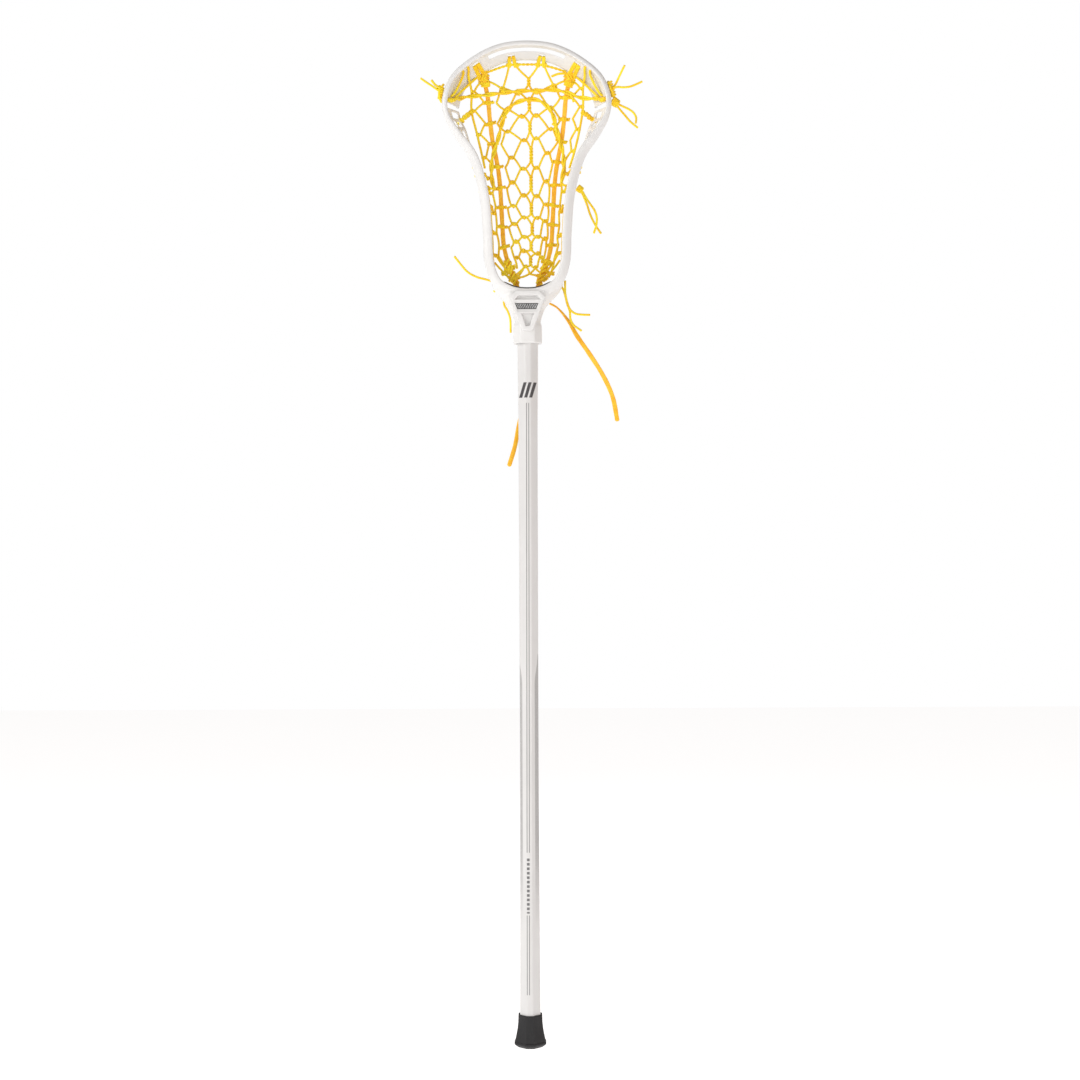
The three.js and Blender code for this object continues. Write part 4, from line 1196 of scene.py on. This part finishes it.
def strand(shell, a, b, bow=0.0, diameter=LACE, lift=0.0):
    """One strand of the net between two points (x, height), bowed a little to one side."""
    a, b = np.array(a, float), np.array(b, float)
    across = np.array([-(b - a)[1], (b - a)[0]])
    across /= max(np.linalg.norm(across), 1e-6)
    t = np.linspace(0, 1, 6)[:, None]
    flat = a + (b - a) * t + across * bow * 4 * t * (1 - t)
    cord(shell, [on_pocket(x, z, lift) for x, z in flat], diameter)


def zigzag(shell, left, right, left_reach, right_reach, bow=0.5):
    """One string laced back and forth between two columns of knots."""
    ends = [(x + left_reach, z, 1) for x, z in left] + [(x - right_reach, z, -1) for x, z in right]
    ends.sort(key=lambda end: -end[1])
    for i, ((x0, z0, side), (x1, z1, _)) in enumerate(zip(ends[:-1], ends[1:])):
        strand(shell, (x0, z0), (x1, z1), bow * side * (0.6 + 0.5 * math.sin(i * 2.4)))


def column_of_knots(shell, knots, lean=0.0):
    for i, (x, z) in enumerate(knots):
        tilt = lean * (0.6 + 0.4 * math.sin(i * 1.7))
        knot(shell, on_pocket(x, z), (1, 0.1, tilt), 1.1 + 0.08 * math.sin(i * 2.1), i * 1.1)


def centre_column(shell, column, side):
    """The strands of one half of the net that meet its neighbour's in the middle twists."""
    for i, (x, z) in enumerate(column):
        tx, _, low = CENTRE_TWISTS[i]
        strand(shell, (tx + side * 0.4, low), (x - side * KNOT_REACH, z), -0.5 * side)
        if i + 1 < len(CENTRE_TWISTS):
            nx, top, _ = CENTRE_TWISTS[i + 1]
            strand(shell, (x - side * KNOT_REACH, z), (nx + side * 0.4, top), -0.5 * side)


def make_net_centre():
    shell = Shell()
    for column, lean in ((LEFT_INNER, -0.25), (RIGHT_INNER, 0.15), (LEFT_OUTER, -0.25), (RIGHT_OUTER, 0.3)):
        column_of_knots(shell, column, lean)
    zigzag(shell, LEFT_OUTER, LEFT_INNER, KNOT_REACH, KNOT_REACH)
    zigzag(shell, RIGHT_INNER, RIGHT_OUTER, KNOT_REACH, KNOT_REACH)
    zigzag(shell, LEFT_WRAPS[:9], LEFT_OUTER, WRAP_REACH, KNOT_REACH, -0.8)
    zigzag(shell, RIGHT_OUTER, RIGHT_WRAPS[:9], KNOT_REACH, WRAP_REACH, -0.8)
    centre_column(shell, LEFT_INNER, -1)
    centre_column(shell, RIGHT_INNER, 1)
    for x, top, low in CENTRE_TWISTS:
        line = resample([on_pocket(x, z) for z in np.linspace(top + 0.8, low - 0.8, 5)], 0.6)
        twisted(shell, line, 2, LACE, 7.0)
    bottom = (1.9, 841.7)
    for x, z in (LEFT_INNER[-1], RIGHT_INNER[-1]):
        strand(shell, (x, z), bottom, 0.8)
    for x, z in ((-10.8, 837.8), (-12.5, 840.7)):
        strand(shell, (x, z), (LEFT_INNER[-1][0] - 2, LEFT_INNER[-1][1] - 1), -0.4)
    strand(shell, (-9.9, 837.1), bottom, -0.8)
    strand(shell, bottom, (13.5, 839.8), -0.6)
    strand(shell, (13.0, 843.7), RIGHT_INNER[-1], 0.6)
    strung(shell, "net_centre", "pocket_net_centre")


def leather_direction(side, z):
    a, b = (np.array([side * profile(LEATHER_LINE, h), pocket_depth(side * profile(LEATHER_LINE, h), h), h])
            for h in (z - 2, z + 2))
    return unit(b - a)


def leather_wrap(shell, side, x, z, turns=2.6, seed=0.0):
    """A lace hitched round the leather, with a small knot on each side of it."""
    axis = leather_direction(side, z)
    across = unit(np.array([axis[2], 0, -axis[0]]))
    out = np.cross(across, axis)
    lean = 0.22 * math.sin(seed * 1.9)
    t = np.linspace(0, 1, int(turns * 20))[:, None]
    angle = 2 * np.pi * turns * t + 0.6
    half_wide, half_thick = LEATHER_WIDTH / 2 + 0.75, LEATHER_THICKNESS / 2 + 0.75
    centre = on_pocket(x, z)
    loop = (centre + axis * ((t - 0.5) * 3.4 + lean * np.cos(angle) * half_wide)
            + across * np.cos(angle) * half_wide + out * np.sin(angle) * half_thick)
    sweep(shell, loop, circle(1.9, 8))
    for way in (-1, 1):
        at = centre + across * way * 4.9 + axis * lean * way * 3
        wound(shell, at, across + np.array([0, 0.1, 0.2 * way]), 1.7, 1.25, 2.8, 1.75, 0.9, seed + way)


def leather_cluster(shell, side):
    """The strings wound round the leather where all the lower strings of the net come together."""
    line = spline([on_pocket(side * profile(LEATHER_LINE, z), z) for z in (829, 838, 847, 857)], 0.7)
    twisted(shell, line, 3, STRING, 19.0, 5.6, 0.4)
    for z, across, lean in ((834, 3.6, 0.5), (838.5, -3.2, -0.4), (843.5, 3.8, -0.5), (848, -2.6, 0.6),
                            (853.5, 3.2, 0.3)):
        at = on_pocket(side * (profile(LEATHER_LINE, z) + across), z, -0.6)
        wound(shell, at, (0.5, 0.2, lean * side), 2.2, 1.6, 4.2, 1.9, 0.9, z)


def rail_loop(shell, place, share, diameter=LACE, drift=0.0):
    """String that goes out through the wall, round the back rail and back to the net."""
    z = outline_at(place)[0][1]
    back, inset = back_depth(z), back_inset(z)
    rail = inset + rail_width(z)
    wall_in = mix(rim_width(z) / 2 - 1, inset + 1, share) + wall_thickness(z) / 2
    depth = mix(*wall_span(z), share)
    clear = diameter / 2 + 0.15
    route = [
        (rail + 3.6, back - 3.2), (rail + clear, back - 5.2), (wall_in + 2.6, depth + 0.8), (wall_in, depth),
        (wall_in - 2.6, depth + 0.8), (inset - clear, back - 4.4), (inset - clear * 0.8, back - 0.4),
        (inset + 0.6, back + clear * 0.9), (rail - 0.6, back + clear * 0.9), (rail + clear * 0.8, back - 0.6),
        (rail + 3.6, back - 2.0),
    ]
    points = [head_point(place + drift * i / len(route), inward, y) for i, (inward, y) in enumerate(route)]
    cord(shell, points, diameter, 0.7)


def slot_loop(shell, place, slot, at_slot, at_net, diameter=LACE):
    """Two turns of string from a slot in the scoop over the front of its wall and rail and round behind.

    slot is how far inside the outline it is; at_slot and at_net are distances along the scoop.
    """
    z = outline_at(place)[0][1]
    back, inset = back_depth(z), back_inset(z)
    (near, far), edge = wall_span(z), rim_width(z) / 2 - 1
    before = lambda inward: mix(near, far, (inward - edge - wall_thickness(z)) / (inset - edge - 0.6)) - 1.5
    behind = lambda inward: mix(near, far, (inward - edge) / (inset + 1 - edge)) + 1.5
    route = [(inset + 7.9, back - 3.4, 1), (inset + 5.0, back - 5.6, 0.85)]
    route += [(inward, before(inward), 0.6 * (inward - slot) / (inset + 3 - slot))
              for inward in np.linspace(inset + 2.6, slot + 0.8, 3 if slot > inset - 2 else 5)]
    route.append((slot - 0.2, before(slot - 0.2) + 1.2, 0))
    route += [(inward, behind(inward), 0.1) for inward in np.arange(slot + 0.4, inset - 1.4, 2.5)]
    route += [(inset - 1.2, back - 4.2, 0.2), (inset - 0.9, back + 0.4, 0.3), (inset + 1.8, back + 1.4, 0.6),
              (inset + 4.6, back + 0.4, 0.9), (inset + 7.9, back - 2.0, 1)]
    for shift in (-0.42, 0.42):
        points = [head_point(place + (mix(at_slot, at_net, share) + shift * diameter) / PERIMETER, inward,
                             depth) for inward, depth, share in route]
        cord(shell, points, diameter, 0.7)


def nearest_open(z):
    """The nearest height at which a side window lets a string through the wall."""
    spans = [(low + 2.2, high - 2.2) for low, high, _ in SIDE_WINDOWS]
    return min((float(np.clip(z, low, high)) for low, high in spans), key=lambda h: abs(h - z))


def make_net_side(side):
    name = SIDES[side]
    wraps, edge = WRAPS[side], EDGES[side]
    shell = Shell()
    for i, (x, z) in enumerate(wraps):
        cluster = i >= 8
        leather_wrap(shell, side, side * profile(LEATHER_LINE, z), z, 4.4 if cluster else 2.6,
                     i + (side > 0) * 0.5)
        if cluster:
            wound(shell, on_pocket(x + side * 3.4, z - 1), (0.8, 0.2, 0.6 * side), 2.6, 1.9, 4.4, 1.6, 0.9, i)
            wound(shell, on_pocket(x - side * 2.6, z + 1.5), (0.6, 0.1, -0.8 * side), 2.2, 1.7, 3.6, 1.6, 0.9,
                  i + 1)
    leather_cluster(shell, side)
    if side < 0:
        zigzag(shell, edge, wraps, KNOT_REACH, WRAP_REACH, 0.5)
    else:
        zigzag(shell, wraps, edge, WRAP_REACH, KNOT_REACH, 0.5)
    for i, (x, z) in enumerate(edge):
        knot(shell, on_pocket(x, z), (1, 0.2, 0.3 * side), 1.02, i * 1.3)
    strand(shell, edge[8], (side * 20.5, 843.5), 0.8 * side)
    strand(shell, (edge[8][0] + side * 1.5, edge[8][1] - 8), (side * 21, 838), 0.5 * side)
    strand(shell, edge[9], (side * 16.5, 835), -0.6 * side)
    strung(shell, f"net_{name}", f"pocket_net_{name}")


def make_rail_lacing(side):
    """The string that ties the net's edge to the back rail of the side wall."""
    name = SIDES[side]
    edge = EDGES[side]
    shell = Shell()
    points = []
    for z in np.arange(834, 953, 9.8):
        place = place_at_height(z, side)
        depth = back_depth(z) - 3.2 + 0.8 * math.sin(z)
        points.append(head_point(place, back_inset(z) + rail_width(z) + 1.5, depth))
    cord(shell, points, STRING)
    if side < 0:
        cord(shell, [(-30, 21, 828.5), (-33.4, 19.5, 824.2), (-36.6, 17.5, 821)], STRING)
    for i, (x, z) in enumerate(edge[RAIL_KNOTS_FROM:9]):
        place = place_at_height(nearest_open(z), side)
        rail_loop(shell, place, 0.83, STRING, 0.001 * side)
        joint = head_point(place, back_inset(z) + 8.6, back_depth(z) - 2.6)
        cord(shell, [joint, (joint + on_pocket(x, z)) / 2 + (0, 0.4, 0), on_pocket(x, z)], STRING)
        wound(shell, joint, (0.3, 0, 1), 1.8, 1.2, 2.6, 1.5, 1.0, i)
    strung(shell, f"rail_lacing_{name}", f"side_lacing_{name}")


def make_selvage(side):
    """The net's outer string, from its hole in the scoop down to the side wall."""
    name = SIDES[side]
    edge = EDGES[side]
    top_hole = hole_point(side, SELVAGE_HOLE, 2.2)
    fall = hole_point(side, (SELVAGE_HOLE[0] + 0.0076, 0.6), 2.2) + (0, -1, 0)
    down = [fall, *(on_pocket(x + side * 1.2, z, -0.8) for x, z in edge[:4])]
    shell = Shell()
    cord(shell, [hole_point(side, SELVAGE_HOLE, -1.5), top_hole, *down,
                 on_pocket(side * 46.6, 958.6)], STRING)
    rail_loop(shell, place_at_height(957.5, side), 0.83, 1.9)
    strung(shell, f"selvage_{name}", f"selvage_string_{name}")


def make_corner_tie(side):
    """The net's upper corner, tied hard to the side wall below the notch."""
    name = SIDES[side]
    start = on_pocket(side * 60.4, 1019.5, -1.2)
    place = place_at_height(1004.5, side)
    z = outline_at(place)[0][1]
    inset, rail, back = back_inset(z), back_inset(z) + rail_width(z), back_depth(z)
    end = head_point(place, rail + 0.6, back - 6.2)
    shell = Shell()
    line = spline([start, (start + end) / 2 + (0, -1.4, 0), end], 0.7)
    twisted(shell, line, 2, STRING, 11.0)
    for share, lean in ((0.1, 0.4), (0.45, -0.3), (0.72, 0.3)):
        at = line[int(len(line) * share)]
        wound(shell, at, end - start + (9 * lean, 9 * lean, 9 * lean), 1.8, 2.1, 2.8, 2.1, 1.0, share * 9)
    clear = STRING / 2 + 0.15
    turns = [(rail + 1.2, -6.4), (inset + 0.6, -7.6), (inset - clear, -4.4), (inset - clear, -0.6),
             (inset + 1.4, clear), (rail + clear, -0.8), (rail + 1.4, -4.6)]
    for shift in (-1.3, 1.3):
        cord(shell, [head_point(place + (shift + 0.3 * i) / PERIMETER, inward, back + depth)
                     for i, (inward, depth) in enumerate(turns)], STRING, 0.7)
    strung(shell, f"corner_wrap_{name}", f"corner_tie_{name}")


def make_leather(side):
    name = SIDES[side]
    line = spline([on_pocket(side * x, z) for z, x in LEATHER_LINE], 1.5)
    shell = Shell()
    sweep(shell, line, leather_section(len(line), seed=side + 2.0), flat=True)
    settle(shell.build(f"thong_{name}", LEATHER), "stick", "amber_leather", f"leather_runner_{name}")


def make_leather_knot(side):
    """The leather's top end, folded over its strings and hitched, with the laces that hold it."""
    name = SIDES[side]
    centre = on_pocket(side * 46.9, 1055)
    axis = leather_direction(side, 1043)
    across = np.array([axis[2], 0, -axis[0]]) / np.hypot(axis[0], axis[2])
    shell = Shell()
    fold = [centre + p for p in (
        axis * -9 + (0, -1.2, 0), axis * -4 + (0, -3.0, 0), axis * 1 + across * 0.4 + (0, -4.2, 0),
        axis * 5.4 + across * 1.2 + (0, -3.4, 0), axis * 7.6 + across * 1.8 + (0, -0.4, 0),
        axis * 5 + across * 1.4 + (0, 2.6, 0), axis * -3 + across * 0.6 + (0, 2.6, 0),
    )]
    line = spline(fold, 0.8)
    sweep(shell, line, leather_section(len(line), 5.2, 2.3, seed=3.0), flat=True)
    t = np.linspace(0, 1, 44)[:, None]
    angle = 2 * np.pi * 1.3 * t + 1.2
    band = (centre + axis * ((t - 0.5) * 4.6 - 0.6) + across * np.cos(angle) * 4.9
            + np.array([0, 1, 0]) * np.sin(angle) * 4.6)
    sweep(shell, band, leather_section(len(band), 3.4, 1.8, 5.0))
    laces = Shell()
    wound(laces, centre - axis * 6.2 + across * 0.3, axis + across * 0.25, 2.6, 4.4, 4.6, LACE, 0.8, 0.4)
    wound(laces, centre - axis * 0.4, axis - across * 0.9 * side, 1.6, 5.4, 4.0, LACE, 0.95, 2.4)
    wound(laces, centre + axis * 1.6 + across * side * 4.4, axis, 2.3, 1.7, 7.0, LACE, 0.95, 2.0)
    wound(laces, centre + axis * 4.6 + across * 1.2, axis + across * 0.8 * side, 1.8, 5.0, 3.2, LACE,
          0.85, 1.0)
    wound(laces, centre + axis * 5.4 + (side * 4.4, 0, 0), (side, 0, 0.5), 1.7, 2.0, 3.8, LACE, 0.9, 2.0)
    wound(laces, centre + axis * 2.2 - across * side * 3.4, axis + across * 0.5, 2.2, 2.2, 5.0, LACE,
          0.95, 0.5)
    wound(laces, centre - axis * 3.4 + across * side * 3.6, axis - across * 0.6, 1.8, 1.9, 4.2, LACE,
          0.95, 1.4)
    wound(laces, centre + axis * 1.2 + (0, -2.2, 0), axis + across * 1.3 * side, 1.4, 4.4, 3.4, LACE,
          0.8, 0.2)
    slot_place = place_in_scoop(side, SCOOP_SLOTS[1])
    z = outline_at(slot_place)[0][1]
    for at_slot, at_net in ((-2.4, -3.6), (2.4, 3.8)):
        slot_loop(laces, slot_place, 8.6, at_slot, at_net, STRING)
        joint = head_point(slot_place + at_net / PERIMETER, back_inset(z) + 7.9, back_depth(z) - 2.7)
        for shift in (-0.9, 0.9):
            cord(laces, [joint + (shift, 0, 0), (joint + centre) / 2 + (shift, -2, 1),
                         centre + axis * 3 + (shift * 1.4, -3.0, 0)])
    settle(shell.build(f"thong_knot_{name}", LEATHER), "stick", "amber_leather", f"leather_knot_{name}")
    strung(laces, f"thong_laces_{name}")


def make_top_lacing():
    """The lacing along the scoop, its loops through the slots and the strings down to the net."""
    shell = Shell()
    route = [(-43, 1061.5), (-30.4, 1065.8), (-20.3, 1068.5), (-13.2, 1069.3), (-0.1, 1069.4), (12, 1069.2),
             (19.1, 1068.1), (30.2, 1065.6), (43, 1061.6)]
    line = spline([on_pocket(x, z, -0.6) for x, z in route], 0.8)
    twisted(shell, line, 2, 1.7, 9.0, 1.25)
    for side in (-1, 1):
        place = place_in_scoop(side, SCOOP_SLOTS[0])
        for at_slot, at_net in ((-2.5, -3.4), (2.4, 4.0)):
            slot_loop(shell, place, 14.4, at_slot, at_net)
        inner, outer = (-11.6, -19.4) if side < 0 else (12.2, 19.4)
        for x in (inner, outer):
            wound(shell, on_pocket(x, 1068.6, -0.4), (1, 0, 0.12), 2.3, 1.7, 4.6, LACE, 0.9, x)
        strand(shell, (inner, 1067.6), (CENTRE_TWISTS[0][0] + side * 0.4, CENTRE_TWISTS[0][1]), 0.4 * side)
        corner = (LEFT_OUTER if side < 0 else RIGHT_OUTER)[0]
        strand(shell, (outer, 1067.6), (corner[0] - side * 0.5, corner[1] + 1), -0.3 * side)
        strand(shell, (corner[0] + side * 1.5, corner[1]), (side * 43, 1052.5), 0.7 * side)
        leather = on_pocket(side * 46.9, 1057)
        wall = hole_point(side, LOWER_HOLE, 1.6)
        cord(shell, [leather + (side * 2, -1.5, 3.5), (leather + wall) / 2 + (side * 2, -1.0, 1.5), wall],
             STRING)
        hole, inside = (hole_point(side, CORNER_HOLE, lift) for lift in (-1.5, 2.4))
        wall = hole_point(side, LOW_HOLE, 1.8)
        cord(shell, [hole, inside, (inside * 0.6 + wall * 0.4) + (-side * 1.5, 0.5, -1), wall,
                     hole_point(side, LOW_HOLE, -1.0)], STRING)
        edge = EDGES[side][0]
        strand(shell, (edge[0] - side * 2, edge[1]), (side * 47.5, 1052.5), -1.6 * side)
    stub = ((42.7, 1059.7, -2.5), (34.2, 1058.8, -4), (27.3, 1056.2, -5))
    cord(shell, [on_pocket(*point) for point in stub], STRING)
    strung(shell, "top_lacing", "top_string")


THROW_LIFT = -(LEATHER_THICKNESS / 2 + 2.9)
UPPER_THROW = [(-66.8, 1034.6), (-46.6, 1037.1), (-25.4, 1039.8), (-4.2, 1041.8), (15, 1041.8),
               (29.2, 1042.6), (45.3, 1039), (56.4, 1034.4), (66.5, 1032.6)]
UPPER_THROW_END = [(73.6, 16, 1031.5), (77.8, 6, 1028.8)]
ARCH_THROW = [
    (-36.7, 935.4), (-39.2, 949.5), (-38.7, 966.9), (-32.2, 989.5), (-26.5, 1010.4), (-20.9, 1022.1),
    (-9.8, 1030.4), (9, 1032.8), (19.1, 1028.4), (27.7, 1018.1), (31.8, 1004.3), (36.3, 987.3), (39.9, 973),
    (39.9, 955.6), (37.3, 941.5),
]


def make_throw_strings():
    upper = Shell()
    middle = [on_pocket(x, z, THROW_LIFT) for x, z in UPPER_THROW]
    line = spline([*reversed(mirrored(UPPER_THROW_END)), *middle, *UPPER_THROW_END], 0.9)
    twisted(upper, line, 2, STRING, 35.0, 2.6, 0.6)
    for side in (-1, 1):
        end = np.array(UPPER_THROW_END[1]) * (side, 1, 1)
        place = place_at_height(1027.6, side)
        wall = wall_point(place, 0.12, 2.6)
        cord(upper, [end, (end + wall) / 2 + (0, -0.6, 0.4), wall, wall_point(place, 0.05, 1.4)], STRING)
        wound(upper, wall + (-1.6 * side, 1.2, 0), (side, -0.7, 0.1), 3.2, 1.5, 6.0, STRING, 1.0, 0.8)
    for x, z in ((-26, 1041.6), (-8.9, 1041.2), (10.7, 1042), (29.5, 1044)):
        wound(upper, on_pocket(x, z, THROW_LIFT * 0.6), (1, 0, 0.1), 2.2, 2.3, 4.6, LACE, 1.0, x)
    stub = ((47.9, 1037, -4.5), (50, 1033.1, -5.5), (51.2, 1029.2, -6))
    cord(upper, [on_pocket(*point) for point in stub], STRING)
    strung(upper, "throw_string_upper", "shooting_string_upper")

    arch = Shell()
    line = spline([on_pocket(x, z, THROW_LIFT) for x, z in ARCH_THROW], 0.9)
    twisted(arch, line, 2, STRING, 32.0, 2.6, 1.2)
    for side, x, z in ((-1, -36.7, 935.4), (1, 37.3, 941.5)):
        z_open = nearest_open(z)
        place = place_at_height(z_open, side)
        rail_loop(arch, place, 0.8, 1.9)
        start = on_pocket(x, z, THROW_LIFT)
        joint = head_point(place, back_inset(z_open) + 8.6, back_depth(z_open) - 2.6)
        cord(arch, [start + (0, 0, 1), (start + joint) / 2 + (0, -0.5, -1), joint], STRING)
    for x, z in ((-25.1, 1015.6), (-20.4, 1023.2), (25.7, 1022.3), (30.9, 1006.2), (2, 1032.7)):
        wound(arch, on_pocket(x, z, THROW_LIFT * 0.6), (0.9, 0, 0.5), 2.0, 2.2, 4.0, LACE, 1.0, x)
    strung(arch, "throw_string_arch", "shooting_string_arch")


def join_ends(shell, knot_middle, *tails):
    """The short lengths of string between a stopper knot and the loose ends that come out of it."""
    for tail in tails:
        start, after = (np.array(p, float) for p in STRING_TAILS[tail][:2])
        near, far = mix(knot_middle, start, 0.3), mix(knot_middle, start, 0.75)
        cord(shell, [near, far, start + (after - start) * 0.15], TAIL)


def make_outer_knots():
    """The stopper knots outside the side walls that the loose ends come out of."""
    def centre_of(node):
        low, high = box_mm(node)
        return (low + high) / 2, (high - low) / 2

    shell = Shell()
    middle, half = centre_of("rim_knot_left")
    wound(shell, middle + (0.8, 0, -0.5), (0.28, 0, 1), 5.2, 1.7, half[2] * 1.9, STRING, 1.0, 0.5)
    wound(shell, middle + (-1.2, -1, 3.5), (1, 0.3, 0.9), 1.9, 2.2, 3.8, STRING, 1.0, 1.5)
    past = [(3.4, 0.5, 8.6), (-0.6, -1.6, 3), (-1.4, -1.2, -5), (1.2, 0, -11)]
    cord(shell, [middle + p for p in past], STRING)
    cord(shell, [middle + (-1.5, -1.8, 5), middle + (-5.5, -2.4, 7.5), middle + (-9.6, -3.0, 12.4)], STRING)
    join_ends(shell, middle, "tail_upper_left")
    strung(shell, "stopper_left", "rim_knot_left")

    shell = Shell()
    middle, half = centre_of("rim_wrap_right")
    middle = middle + (-1.3, 0, 0)
    wound(shell, middle, (0.3, 0, -1), 5.4, 2.5, half[2] * 1.9, STRING, 0.95, 0.0)
    past = [(-3.4, 1.4, 8.6), (-1.5, -4.0, 2), (1.4, -4.0, -5), (3.4, -1, -10.5)]
    cord(shell, [middle + p for p in past], STRING)
    join_ends(shell, middle, "tail_upper_right_rising", "tail_upper_right_level")
    strung(shell, "stopper_wrap_right", "rim_wrap_right")

    for node, name, size, ends in (
            ("rim_knot_right", "stopper_right", 1.3, ("tail_upper_right_outer", "tail_upper_right_inner")),
            ("rail_knot_right", "stopper_rail", 0.95, ("tail_right_rail_outer", "tail_right_rail_inner"))):
        shell = Shell()
        middle, half = centre_of(node)
        middle = middle + (-1.6 * (size > 1), 0, 0)
        wound(shell, middle, (1, 0.2, -0.8), 3.4, 2.9 * size, 5.4 * size, STRING, 1.0, 0.3)
        wound(shell, middle, (0.4, 1, 0.7), 2.6, 2.6 * size, 3.6 * size, STRING, 1.0, 1.9)
        wound(shell, middle, (-0.2, 0.6, 1), 1.5, 2.3 * size, 2.2 * size, STRING, 1.0, 3.1)
        join_ends(shell, middle, *ends)
        strung(shell, name, node)


for one_side in (-1, 1):
    make_net_side(one_side)
    make_rail_lacing(one_side)
    make_selvage(one_side)
    make_corner_tie(one_side)
    make_leather(one_side)
    make_leather_knot(one_side)
make_net_centre()
make_top_lacing()
make_throw_strings()
make_outer_knots()
